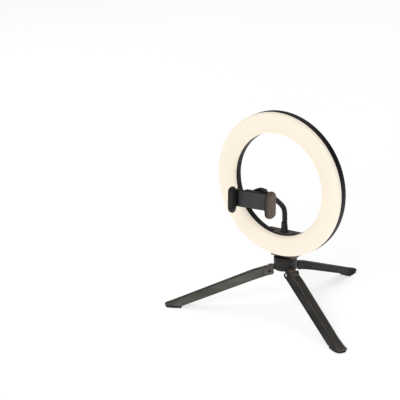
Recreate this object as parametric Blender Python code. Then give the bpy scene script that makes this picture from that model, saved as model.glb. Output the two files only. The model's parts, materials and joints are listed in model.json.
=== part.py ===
"""Desktop ring light: an opal LED ring on a folding three-leg table stand, with a phone clamp on a
short flexible neck.

Lengths are in millimetres and turn into metres as each mesh is made. Meshes are described in the
stand's frame: Z is the stand's axis, Z = 0 is the table and the light shines towards -Y. The stand
sits a little towards -Y of the origin, so that the whole object is centred over it.
"""
from math import asin, atan2, cos, degrees, pi, radians, sin, sqrt

import bmesh
import bpy
from mathutils import Euler, Matrix, Vector

MM = 0.001
GAP = 0.3                  # clearance between pieces that touch

STAND_Y = -40.04           # where the stand's axis is, so that the bounding box is centred

# Light ring
RING_OUTER = 100.0
RING_INNER = 71.75
RING_Z = 181.6             # height of the ring's centre
RING_FRONT = -16.4
RING_SEAM = -9.8           # where the opal front meets the black housing
RING_BACK = 1.0
WALL = 1.6
FRONT_ROUNDING = 2.6
BACK_ROUNDING = 1.4
RING_SEGMENTS = 64
LED_COUNT = 24             # of each colour
WARM_RADIUS = 81.5
COOL_RADIUS = 90.5

# Block that saddles the bottom of the ring
BLOCK_TOP = 112.0
BLOCK_FOOT = 77.3
BLOCK_HEEL = 78.5
BLOCK_TOP_HALF = 32.0
BLOCK_FOOT_HALF = 20.0
BLOCK_FRONT = -7.0
BLOCK_BACK = 8.4
COVER_BACK = 10.2
SCREWS = [(-25.0, 106.5), (25.0, 106.5), (-18.5, 84.5), (18.5, 84.5)]
SLOT = (5.0, 92.0, 97.0)   # half-width, bottom and top of the wiring slot
POCKET_FLOOR = 3.0         # front of the driver's pocket
GLAND_Z = 95.0             # height of the cord's gland

# Hub and ball
HUB_RADIUS = 16.0
HUB_BOTTOM = 59.1
HUB_SPLIT = 73.6
HUB_TOP = 76.6
BALL_Z = 67.5
BALL_RADIUS = 6.5
STUD_RADIUS = 3.05

# Legs
LEG_ANGLES = {"front_right": -30.0, "front_left": -150.0, "rear": 90.0}
PIN_REACH = 21.3
PIN_Z = 57.4
PIN_RADIUS = 1.5
PIN_HALF = 8.9             # half the hinge pin's length
LUG_RADIUS = 3.4
LUG_HALF = 3.5
LEG_WALL = 1.7
FOOT_PAD = 3.0             # thickness of the rubber foot
# Stations along a leg: reach and height of the top edge and of the bottom edge, then half-widths
LEG_STATIONS = [
    ((17.2, 64.0), (15.2, 53.6), 5.6, 10.2),
    ((28.0, 61.0), (28.0, 50.2), 5.6, 10.5),
    ((46.0, 55.6), (46.0, 43.6), 5.6, 10.5),
    ((146.5, 14.1), (146.5, 3.3), 5.2, 9.4),
    ((166.0, 6.0), (166.0, 3.3), 4.8, 8.8),
    ((171.6, 4.4), (171.6, 3.3), 4.0, 6.6),
]

# Flexible neck
NECK_RADIUS = 3.5
NECK_ROUTE = [
    (0.0, 0.0, 112.0), (0.0, 0.6, 121.0), (0.0, 1.3, 130.0), (0.0, 1.4, 138.0), (-0.1, 0.0, 144.9),
    (-0.4, -4.4, 151.0), (-0.9, -10.8, 157.2), (-1.5, -17.4, 162.9), (-2.1, -22.6, 167.6),
]
NECK_LEAD = 3.8            # straight end of the neck, behind its fitting
FERRULE_TOP = 126.2
JOINT_POINTS = (2, 4, 7)   # which route points are the neck's joints

# Phone clamp, in its own frame: X across, -Y out of the front, Z up, origin at the ball
CLAMP_BALL = (-1.3, -51.1, 173.6)
CLAMP_YAW = radians(4.4)
CLAMP_PITCH = radians(4.7)
CLAMP_BALL_RADIUS = 5.5
STEM_RADIUS = 2.4
NUT_RADIUS = 13.6
PLATE_HALF = 24.1
PLATE_HALF_HEIGHT = 11.5
PLATE_FRONT = -16.4
PLATE_BACK = -14.8
JAW_INNER = 24.4
JAW_OUTER = 33.4
JAW_FRONT = -29.0
JAW_Z = -1.5               # middle of the jaws' height
JAW_DOME = 7.0             # rise of their rounded ends
JAW_FOOT_BACK = -6.6
# For each jaw: its side, its back, half its height, the radii of its corners seen from above, from
# the inner front round to the inner back, and its foot's outer side, front and half height
JAWS = {
    "fixed_jaw": (-1, -16.0, 18.0, (1.5, 3.0, 2.0, 6.0), (31.0, -17.0, 11.3)),
    "moving_jaw": (1, -13.0, 18.4, (1.5, 5.0, 2.0, 4.0), (26.8, -18.0, 9.6)),
}
GRIP_HALF_HEIGHT = 10.5
BODY_HALF = 19.0
BODY_HALF_HEIGHT = 11.0
BODY_FRONT = -12.6
BODY_BACK = -5.4
ROD_Y = -9.2
ROD_Z = 7.2
ROD_RADIUS = 1.2
FITTING_END = 20.0         # back of the ball's fitting, where the neck starts
COIL_STEPS = 10            # points on each turn of the spring

COLOURS = {
    "opal": ((1.0, 0.93, 0.82), 0.35, 0.0),
    "black_plastic": ((0.018, 0.017, 0.017), 0.42, 0.0),
    "satin_black": ((0.03, 0.028, 0.027), 0.38, 0.0),
    "leg_finish": ((0.05, 0.047, 0.043), 0.36, 0.3),
    "rubber": ((0.012, 0.012, 0.012), 0.75, 0.0),
    "steel": ((0.62, 0.62, 0.62), 0.28, 1.0),
    "brass": ((0.7, 0.5, 0.2), 0.35, 1.0),
    "board_white": ((0.8, 0.8, 0.78), 0.5, 0.0),
    "board_green": ((0.02, 0.16, 0.06), 0.5, 0.0),
    "led_warm": ((1.0, 0.72, 0.3), 0.3, 0.0),
    "led_cool": ((0.85, 0.92, 1.0), 0.3, 0.0),
    "nylon": ((0.55, 0.54, 0.5), 0.55, 0.0),
}


# ---------------------------------------------------------------- helpers

def clear_scene():
    for obj in list(bpy.data.objects):
        bpy.data.objects.remove(obj, do_unlink=True)


def make_materials():
    for name, (colour, roughness, metallic) in COLOURS.items():
        material = bpy.data.materials.new(name)
        material.use_nodes = True
        shader = material.node_tree.nodes["Principled BSDF"]
        shader.inputs["Base Color"].default_value = (*colour, 1.0)
        shader.inputs["Roughness"].default_value = roughness
        shader.inputs["Metallic"].default_value = metallic
        material.diffuse_color = (*colour, 1.0)


def empty(name, location=(0, 0, 0), rotation=(0, 0, 0), parent=None):
    """An empty at a place given in millimetres, in its parent's frame."""
    obj = bpy.data.objects.new(name, None)
    bpy.context.scene.collection.objects.link(obj)
    obj.location = Vector(location) * MM
    obj.rotation_euler = rotation
    obj.parent = parent
    return obj


def finish(name, bm, material, parent, pivot=(0, 0, 0), location=(0, 0, 0)):
    """Make an object from a mesh in millimetres: its origin is at the pivot."""
    bmesh.ops.recalc_face_normals(bm, faces=bm.faces)
    mesh = bpy.data.meshes.new(name)
    bmesh.ops.translate(bm, vec=-Vector(pivot), verts=bm.verts)
    bmesh.ops.scale(bm, vec=(MM, MM, MM), verts=bm.verts)
    bm.to_mesh(mesh)
    bm.free()
    mesh.shade_smooth()
    mesh.set_sharp_from_angle(angle=radians(35))
    obj = bpy.data.objects.new(name, mesh)
    bpy.context.scene.collection.objects.link(obj)
    obj.location = Vector(location) * MM
    obj.parent = parent
    if material:
        mesh.materials.append(bpy.data.materials[material])
    return obj


def combine(obj, other, operation):
    """Boolean with a hidden helper object that has the same parent and origin."""
    other.hide_render = True
    other.display_type = "WIRE"
    modifier = obj.modifiers.new(operation.lower(), "BOOLEAN")
    modifier.operation = operation
    modifier.solver = "EXACT"
    modifier.object = other
    return obj


def turned(profile, segments=24):
    """Solid of revolution about Z from (radius, height) points. A profile that starts and ends on
    the axis is a full body, and any other is the closed outline of a ring."""
    bm = bmesh.new()
    rings = []
    for radius, height in profile:
        if radius < 1e-6:
            rings.append([bm.verts.new((0, 0, height))])
            continue
        turns = [2 * pi * i / segments for i in range(segments)]
        rings.append([bm.verts.new((radius * cos(a), radius * sin(a), height)) for a in turns])
    followers = rings[1:]
    if len(rings[0]) > 1:
        followers = followers + rings[:1]
    for lower, upper in zip(rings, followers):
        for i in range(segments):
            j = (i + 1) % segments
            corners = [lower[i % len(lower)], lower[j % len(lower)]]
            corners += [upper[j % len(upper)], upper[i % len(upper)]]
            bm.faces.new(list(dict.fromkeys(corners)))
    return bm


def moved(bm, offset=(0, 0, 0), axis="Z"):
    """Turn a mesh made about Z onto another axis, then move it."""
    turns = {"X": Matrix.Rotation(pi / 2, 4, "Y"), "Y": Matrix.Rotation(-pi / 2, 4, "X")}
    if axis in turns:
        bmesh.ops.transform(bm, matrix=turns[axis], verts=bm.verts)
    bmesh.ops.translate(bm, vec=offset, verts=bm.verts)
    return bm


def rod(radius, low, high, offset=(0, 0, 0), axis="Z", segments=16):
    return moved(turned([(0, low), (radius, low), (radius, high), (0, high)], segments), offset, axis)


def prism(outline, low, high, axis="Y"):
    """Extrude an outline. Its two numbers are the coordinates across the axis, in X, Y, Z order."""
    place = {
        "X": lambda a, b, t: (t, a, b),
        "Y": lambda a, b, t: (a, t, b),
        "Z": lambda a, b, t: (a, b, t),
    }[axis]
    return loft([[place(a, b, t) for a, b in outline] for t in (low, high)])


def loft(sections):
    """Solid through sections that have the same number of points, closed at both ends."""
    bm = bmesh.new()
    loops = [[bm.verts.new(point) for point in section] for section in sections]
    count = len(loops[0])
    for near, far in zip(loops, loops[1:]):
        for i in range(count):
            j = (i + 1) % count
            bm.faces.new((near[i], near[j], far[j], far[i]))
    bm.faces.new(loops[0])
    bm.faces.new(list(reversed(loops[-1])))
    return bm


def box(low, high):
    outline = [(low[0], low[2]), (high[0], low[2]), (high[0], high[2]), (low[0], high[2])]
    return prism(outline, low[1], high[1])


def joined(*parts):
    """Put several meshes into one, as separate bodies."""
    whole = bmesh.new()
    for part in parts:
        mesh = bpy.data.meshes.new("scratch")
        bmesh.ops.recalc_face_normals(part, faces=part.faces)
        part.to_mesh(mesh)
        part.free()
        whole.from_mesh(mesh)
        bpy.data.meshes.remove(mesh)
    return whole


def arc(radius, start, end, steps, centre=(0, 0)):
    """Points on an arc. Angles are in degrees."""
    angles = [radians(start + (end - start) * i / steps) for i in range(steps + 1)]
    return [(centre[0] + radius * cos(a), centre[1] + radius * sin(a)) for a in angles]


def stadium(half_width, half_height, steps=6):
    """Upright bar outline with round ends, about its own middle."""
    rise = half_height - half_width
    return arc(half_width, 0, 180, steps, (0, rise)) + arc(half_width, 180, 360, steps, (0, -rise))


# ---------------------------------------------------------------- light ring

def ring_point(radius, angle):
    """X and Z of a point on the ring, with its angle measured from the right-hand side."""
    return radius * cos(angle), RING_Z + radius * sin(angle)


def about_ring(bm):
    return moved(bm, (0, 0, RING_Z), "Y")


def diffuser_profile():
    outer = RING_OUTER - 0.2
    inner = RING_INNER + 0.2
    rear = RING_SEAM - 0.1
    turn = FRONT_ROUNDING
    inside = turn - WALL
    front = RING_FRONT
    outline = [(outer, rear)]
    outline += arc(turn, 0, -90, 3, (outer - turn, front + turn))
    outline += arc(turn, -90, -180, 3, (inner + turn, front + turn))
    outline += [(inner, rear), (inner + WALL, rear)]
    outline += arc(inside, 180, 270, 1, (inner + turn, front + turn))
    outline += arc(inside, -90, 0, 1, (outer - turn, front + turn))
    outline += [(outer - WALL, rear)]
    return outline


def housing_profile():
    front = RING_SEAM + GAP - 0.1
    turn = BACK_ROUNDING
    floor = RING_BACK - WALL - 0.2
    outline = [(RING_OUTER, front)]
    outline += arc(turn, 0, 90, 2, (RING_OUTER - turn, RING_BACK - turn))
    outline += arc(turn, 90, 180, 2, (RING_INNER + turn, RING_BACK - turn))
    outline += [(RING_INNER, front), (RING_INNER + WALL, front), (RING_INNER + WALL, floor)]
    outline += [(RING_OUTER - WALL, floor), (RING_OUTER - WALL, front)]
    return outline


def build_ring(head, pivot):
    def add(name, bm, material):
        return finish(name, bm, material, head, pivot)

    add("diffuser", about_ring(turned(diffuser_profile(), RING_SEGMENTS)), "opal")
    housing = add("rear_housing", about_ring(turned(housing_profile(), RING_SEGMENTS)), "black_plastic")
    half, low, high = SLOT
    combine(housing, add("slot_cut", box((-half, -3, low), (half, 3, high)), None), "DIFFERENCE")

    board_back = RING_BACK - WALL - 0.2 - GAP
    board_front = board_back - 1.5
    inner = RING_INNER + WALL + 0.8
    outer = RING_OUTER - WALL - 0.8
    outline = [(inner, board_front), (outer, board_front), (outer, board_back), (inner, board_back)]
    add("led_board", about_ring(turned(outline, RING_SEGMENTS)), "board_white")
    tape_back = board_front - GAP
    tape_front = tape_back - 0.4
    for colour, radius, shift in (("warm", WARM_RADIUS, 0.0), ("cool", COOL_RADIUS, 0.5)):
        outline = [(radius - 2.2, tape_front), (radius + 2.2, tape_front)]
        outline += [(radius + 2.2, tape_back), (radius - 2.2, tape_back)]
        strip = add("led_strip_" + colour, about_ring(turned(outline, 2 * LED_COUNT)), "led_" + colour)
        chips = []
        for i in range(LED_COUNT):
            x, z = ring_point(radius, 2 * pi * (i + shift) / LED_COUNT)
            chips.append(box((x - 1.3, tape_front - 0.7, z - 1.3), (x + 1.3, tape_front + 0.2, z + 1.3)))
        combine(strip, add("chips_" + colour, joined(*chips), None), "UNION")


# ---------------------------------------------------------------- saddle block

def build_block(head, pivot):
    def add(name, bm, material=None):
        return finish(name, bm, material, head, pivot)

    slope = (BLOCK_TOP_HALF - BLOCK_FOOT_HALF) / (BLOCK_TOP - BLOCK_FOOT)
    heel_half = BLOCK_FOOT_HALF + slope * (BLOCK_HEEL - BLOCK_FOOT)
    back = [(-heel_half, BLOCK_HEEL), (heel_half, BLOCK_HEEL)]
    back += [(BLOCK_TOP_HALF, BLOCK_TOP - 2), (BLOCK_TOP_HALF - 2, BLOCK_TOP)]
    back += [(2 - BLOCK_TOP_HALF, BLOCK_TOP), (-BLOCK_TOP_HALF, BLOCK_TOP - 2)]
    block = add("mount_block", prism(back, RING_BACK + GAP, BLOCK_BACK), "black_plastic")

    outside = RING_OUTER + GAP
    swing = degrees(asin((BLOCK_FOOT_HALF - 1) / outside))
    shelf = [(BLOCK_FOOT_HALF - 1, BLOCK_FOOT)]
    shelf += arc(outside, 270 + swing, 270 - swing, 8, (0, RING_Z))
    shelf += [(1 - BLOCK_FOOT_HALF, BLOCK_FOOT)]
    combine(block, add("shelf_join", prism(shelf, BLOCK_FRONT, 6.0)), "UNION")

    inside = RING_INNER - GAP
    rise = RING_Z - BLOCK_TOP + 0.25
    swing = degrees(asin(sqrt(inside**2 - rise**2) / inside))
    tongue = arc(inside, 270 - swing, 270 + swing, 8, (0, RING_Z))
    tongue += [(tongue[-1][0], BLOCK_TOP), (tongue[0][0], BLOCK_TOP)]
    combine(block, add("tongue_join", prism(tongue, BLOCK_FRONT, 4.0)), "UNION")

    half, low, high = SLOT
    slot = box((-half, 0, low), (half, POCKET_FLOOR + 1, high))
    combine(block, add("slot_way", slot), "DIFFERENCE")
    cuts = [
        box((-17, POCKET_FLOOR, 87), (17, BLOCK_BACK + 1, 107)),
        rod(4.9, BLOCK_FOOT - 1, BLOCK_FOOT + 4.6, segments=20),
    ]
    cuts += [rod(1.25, 3.4, BLOCK_BACK + 1, (x, 0, z), "Y", 10) for x, z in SCREWS]
    combine(block, add("block_cut", joined(*cuts)), "DIFFERENCE")

    plate = [(a * 0.985, BLOCK_HEEL + 0.5 + (b - BLOCK_HEEL) * 0.97) for a, b in back]
    cover = add("block_cover", prism(plate, BLOCK_BACK + GAP, COVER_BACK), "satin_black")
    cuts = [rod(1.95, BLOCK_BACK, COVER_BACK + 1, (x, 0, z), "Y", 12) for x, z in SCREWS]
    cuts.append(rod(3.4, BLOCK_BACK, COVER_BACK + 1, (0, 0, GLAND_Z), "Y", 16))
    combine(cover, add("cover_cut", joined(*cuts)), "DIFFERENCE")

    screw = [(0, 4.0), (0.95, 4.0), (0.95, BLOCK_BACK + 0.6), (1.6, BLOCK_BACK + 0.6)]
    screw += [(1.6, COVER_BACK - 0.5), (1.3, COVER_BACK - 0.1), (0, COVER_BACK - 0.1)]
    for i, (x, z) in enumerate(SCREWS):
        add(f"cover_screw_{i + 1}", moved(turned(screw, 10), (x, 0, z), "Y"), "steel")

    gland = [(0, 8.0), (3.1, 8.0), (3.1, 10.5), (4.4, 10.5), (4.4, 11.7), (2.9, 12.2), (2.4, 16.5)]
    gland += [(1.6, 16.5), (1.6, 9.5), (0, 9.5)]
    add("cable_gland", moved(turned(gland, 16), (0, 0, GLAND_Z), "Y"), "rubber")
    add("driver_board", box((-15.5, 4.9, 88), (15.5, 6.5, 106)), "board_green")
    add("led_connector", box((-4.2, -0.8, 92.8), (4.2, 4.6, 96.2)), "nylon")

    insert = [(3.35, 77.6), (4.6, 77.6), (4.6, 81.0), (3.35, 81.0)]
    add("thread_insert", turned(insert, 20), "brass")

    ferrule = [(0, BLOCK_TOP + GAP), (5.8, BLOCK_TOP + GAP), (5.8, BLOCK_TOP + 1.4)]
    ferrule += [(4.8, BLOCK_TOP + 2.0), (4.8, 119.5), (3.9, FERRULE_TOP), (0, FERRULE_TOP)]
    add("neck_ferrule", turned(ferrule, 20), "satin_black")


# ---------------------------------------------------------------- hub and ball joint

def build_hub(stand):
    outer = [(9.3, 62.0), (6.0, 62.0), (6.0, HUB_BOTTOM), (HUB_RADIUS - 0.8, HUB_BOTTOM)]
    outer += [(HUB_RADIUS, HUB_BOTTOM + 0.8), (HUB_RADIUS, HUB_SPLIT), (9.3, HUB_SPLIT)]
    hub = finish("hub_body", turned(outer, 36), "satin_black", stand)
    lugs = []
    holes = []
    for angle in LEG_ANGLES.values():
        side = arc(LUG_RADIUS, -90, 90, 6, (PIN_REACH, PIN_Z))
        side += [(11.0, PIN_Z + LUG_RADIUS), (11.0, HUB_BOTTOM + 0.6), (13.0, PIN_Z - LUG_RADIUS)]
        turn = Matrix.Rotation(radians(angle), 4, "Z")
        lug = prism(side, -LUG_HALF, LUG_HALF)
        hole = rod(PIN_RADIUS + GAP, -6, 6, (PIN_REACH, 0, PIN_Z), "Y", 12)
        for bm, pieces in ((lug, lugs), (hole, holes)):
            bmesh.ops.transform(bm, matrix=turn, verts=bm.verts)
            pieces.append(bm)
    combine(hub, finish("lug_join", joined(*lugs), None, stand), "UNION")
    combine(hub, finish("lug_cut", joined(*holes), None, stand), "DIFFERENCE")

    collar = [(4.7, HUB_SPLIT + GAP), (HUB_RADIUS, HUB_SPLIT + GAP), (HUB_RADIUS, HUB_TOP - 1)]
    collar += [(HUB_RADIUS - 1, HUB_TOP), (5.2, HUB_TOP), (4.7, HUB_TOP - 0.5)]
    finish("hub_collar", turned(collar, 36), "satin_black", stand)
    plug = [(0, HUB_BOTTOM + GAP), (5.7, HUB_BOTTOM + GAP), (5.7, 60.6), (0, 60.6)]
    finish("hub_plug", turned(plug, 24), "black_plastic", stand)
    washer = [(6.2, 62.3), (8.8, 62.3), (8.8, 63.2), (6.2, 63.2)]
    finish("cup_washer", turned(washer, 24), "steel", stand)


def ball_outline(radius, start, end, steps):
    """Part of a ball's outline about the ball's middle. Angles are in degrees from straight down."""
    angles = [radians(start + (end - start) * i / steps) for i in range(steps + 1)]
    return [(radius * sin(a), -radius * cos(a)) for a in angles]


def build_ball_joint(stand, head, pivot):
    seat_radius = BALL_RADIUS + GAP
    low = 63.5 - BALL_Z
    high = 72.8 - BALL_Z
    start = degrees(atan2(sqrt(seat_radius**2 - low**2), -low))
    end = degrees(atan2(sqrt(seat_radius**2 - high**2), -high))
    cup = [(9.0, low)] + ball_outline(seat_radius, start, end, 8) + [(9.0, high)]
    finish("ball_cup", turned(cup, 24), "nylon", stand, location=(0, 0, BALL_Z))

    neck = degrees(pi - asin(STUD_RADIUS / BALL_RADIUS))
    ball = ball_outline(BALL_RADIUS, 0, neck, 9)
    ball[0] = (0, ball[0][1])
    ball += [(STUD_RADIUS, 80.4 - BALL_Z), (STUD_RADIUS - 0.5, 80.9 - BALL_Z), (0, 80.9 - BALL_Z)]
    finish("ball_stud", turned(ball, 24), "steel", head)


# ---------------------------------------------------------------- legs

def leg_section(top, bottom, top_half, bottom_half):
    """Four corners of a leg's section in the leg's frame: X outward from the pin, Z up."""
    along_top, high = top[0] - PIN_REACH, top[1] - PIN_Z
    along_bottom, low = bottom[0] - PIN_REACH, bottom[1] - PIN_Z
    return [(along_bottom, -bottom_half, low), (along_bottom, bottom_half, low),
            (along_top, top_half, high), (along_top, -top_half, high)]


def leg_hollow():
    """The channel under a leg: it is open at the hub and stops before the tip."""
    sections = []
    stations = LEG_STATIONS[:4]
    for i, (top, bottom, top_half, bottom_half) in enumerate(stations):
        shift = (-4.0, 0.0, 0.0, -4.0)[i]
        height = top[1] - bottom[1]
        drop = 3.0
        flare = (bottom_half - top_half) / height * drop
        lower_half = bottom_half - LEG_WALL + flare
        upper_half = top_half - LEG_WALL + 0.3
        slope = -0.25 if i < 2 else -0.413
        lift = slope * shift
        sections.append(leg_section((top[0] + shift, top[1] + lift - LEG_WALL - 0.1),
                                    (bottom[0] + shift, bottom[1] + lift - drop), upper_half, lower_half))
    return loft(sections)


def build_leg(stand, name, angle):
    turn = radians(angle)
    place = (PIN_REACH * cos(turn), PIN_REACH * sin(turn), PIN_Z)
    hinge = empty("hinge_" + name, place, (0, 0, turn), stand)
    leg = finish("leg_" + name, loft([leg_section(*station) for station in LEG_STATIONS]),
                 "leg_finish", hinge)
    combine(leg, finish("hollow_" + name, leg_hollow(), None, hinge), "DIFFERENCE")
    bore = rod(PIN_RADIUS + GAP, -14, 14, axis="Y", segments=12)
    combine(leg, finish("bore_" + name, bore, None, hinge), "DIFFERENCE")

    crown = [(0, -PIN_HALF), (PIN_RADIUS - 0.3, -PIN_HALF), (PIN_RADIUS, 0.3 - PIN_HALF)]
    crown += [(PIN_RADIUS, PIN_HALF - 0.3), (PIN_RADIUS - 0.3, PIN_HALF), (0, PIN_HALF)]
    finish("leg_pin_" + name, moved(turned(crown, 12), axis="Y"), "steel", hinge)

    heel = LEG_STATIONS[3][0][0] + 1.0 - PIN_REACH
    toe = LEG_STATIONS[5][0][0] - PIN_REACH
    outline = [(heel, -8.6), (heel + 8, -9.0), (toe - 6, -8.4), (toe - 0.6, -6.2)]
    outline += [(x, -y) for x, y in reversed(outline)]
    finish("foot_" + name, prism(outline, -PIN_Z, FOOT_PAD - PIN_Z, "Z"), "rubber", hinge)


# ---------------------------------------------------------------- flexible neck

def route_curve(points, steps):
    """Smooth curve through points: Catmull-Rom, with the ends repeated."""
    points = [Vector(p) for p in points]
    padded = [points[0] * 2 - points[1]] + points + [points[-1] * 2 - points[-2]]
    curve = []
    for i in range(1, len(padded) - 2):
        a, b, c, d = padded[i - 1:i + 3]
        for k in range(steps):
            t = k / steps
            curve.append(0.5 * ((2 * b) + (c - a) * t + (2 * a - 5 * b + 4 * c - d) * t**2
                                + (3 * b - a - 3 * c + d) * t**3))
    curve.append(points[-1])
    return curve


def tube(points, radius, segments=12, round_start=False):
    """Tube along points. A round start puts a half ball about the first point."""
    tangents = []
    for i in range(len(points)):
        ahead = points[min(i + 1, len(points) - 1)]
        behind = points[max(i - 1, 0)]
        tangents.append((ahead - behind).normalized())
    stations = []
    if round_start:
        for k in range(1, 5):
            a = radians(90 * k / 4.0)
            back = tangents[0] * (-radius * cos(a))
            stations.append((points[0] + back, tangents[0], radius * sin(a)))
    else:
        stations.append((points[0], tangents[0], radius))
    stations += [(p, t, radius) for p, t in zip(points[1:], tangents[1:])]
    sections = []
    for centre, tangent, size in stations:
        side = Vector((1, 0, 0))
        side = (side - tangent * side.dot(tangent)).normalized()
        across = tangent.cross(side)
        turns = [2 * pi * i / segments for i in range(segments)]
        sections.append([centre + (side * cos(a) + across * sin(a)) * size for a in turns])
    if round_start:
        tip = points[0] - tangents[0] * radius
        sections.insert(0, [tip + (point - stations[0][0]) * 0.05 for point in sections[0]])
    return loft(sections)


def trimmed(points, length):
    """Cut a length off the end of a run of points."""
    points = list(points)
    while length > 0:
        step = (points[-1] - points[-2]).length
        if step > length:
            points[-1] = points[-1] + (points[-2] - points[-1]) * (length / step)
            break
        points.pop()
        length -= step
    return points


def clamp_direction():
    """Unit vector out of the clamp's front."""
    turn = Euler((-CLAMP_PITCH, 0, CLAMP_YAW))
    return turn.to_matrix() @ Vector((0, -1, 0))


def build_neck(head, pivot):
    ball = Vector(CLAMP_BALL)
    forward = clamp_direction()
    fitting_back = ball - forward * FITTING_END
    route = NECK_ROUTE + [tuple(fitting_back - forward * reach) for reach in (NECK_LEAD, NECK_LEAD / 2, GAP)]
    steps = 4
    curve = route_curve(route, steps)
    cuts = [i * steps for i in JOINT_POINTS] + [len(curve) - 1]
    parent = head
    parent_pivot = Vector(pivot)
    for name, start, end in zip(("neck_lower", "neck_middle", "neck_upper"), cuts, cuts[1:]):
        run = curve[start:end + 1]
        joint = run[0].copy()
        if end != cuts[-1]:
            run = trimmed(run, NECK_RADIUS + GAP)
        bend = empty("bend_" + name, joint - parent_pivot, parent=parent)
        finish(name, tube(run, NECK_RADIUS, round_start=True), "satin_black", bend, joint)
        parent = bend
        parent_pivot = joint
    return parent, parent_pivot


# ---------------------------------------------------------------- phone clamp

def helix(radius, wire, low, high, turns, offset):
    """Coil spring along X, of square wire."""
    points = []
    count = turns * COIL_STEPS
    for i in range(count + 1):
        a = 2 * pi * i / COIL_STEPS
        x = low + (high - low) * i / count
        points.append(Vector((x, offset[0] + radius * cos(a), offset[1] + radius * sin(a))))
    return tube(points, wire, 4)


def jaw_bar(side, back, half_height, radii):
    """Upright bar with rounded corners and domed ends."""
    outline = []
    for k, radius in enumerate(radii):
        x = JAW_OUTER - radius if k in (1, 2) else JAW_INNER + radius
        y = JAW_FRONT + radius if k < 2 else back - radius
        outline += arc(radius, 180 + 90 * k, 270 + 90 * k, 2, (x, y))
    centre = Vector(((JAW_OUTER + JAW_INNER) / 2, (JAW_FRONT + back) / 2))
    sections = []
    for end in (-1, 1):
        for rise in (-78, -55, -28, 0)[::-end]:
            height = JAW_Z + end * (half_height - JAW_DOME - JAW_DOME * sin(radians(rise)))
            section = [centre + (Vector(point) - centre) * cos(radians(rise)) for point in outline]
            sections.append([(side * x, y, height) for x, y in section])
    return loft(sections)


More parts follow.
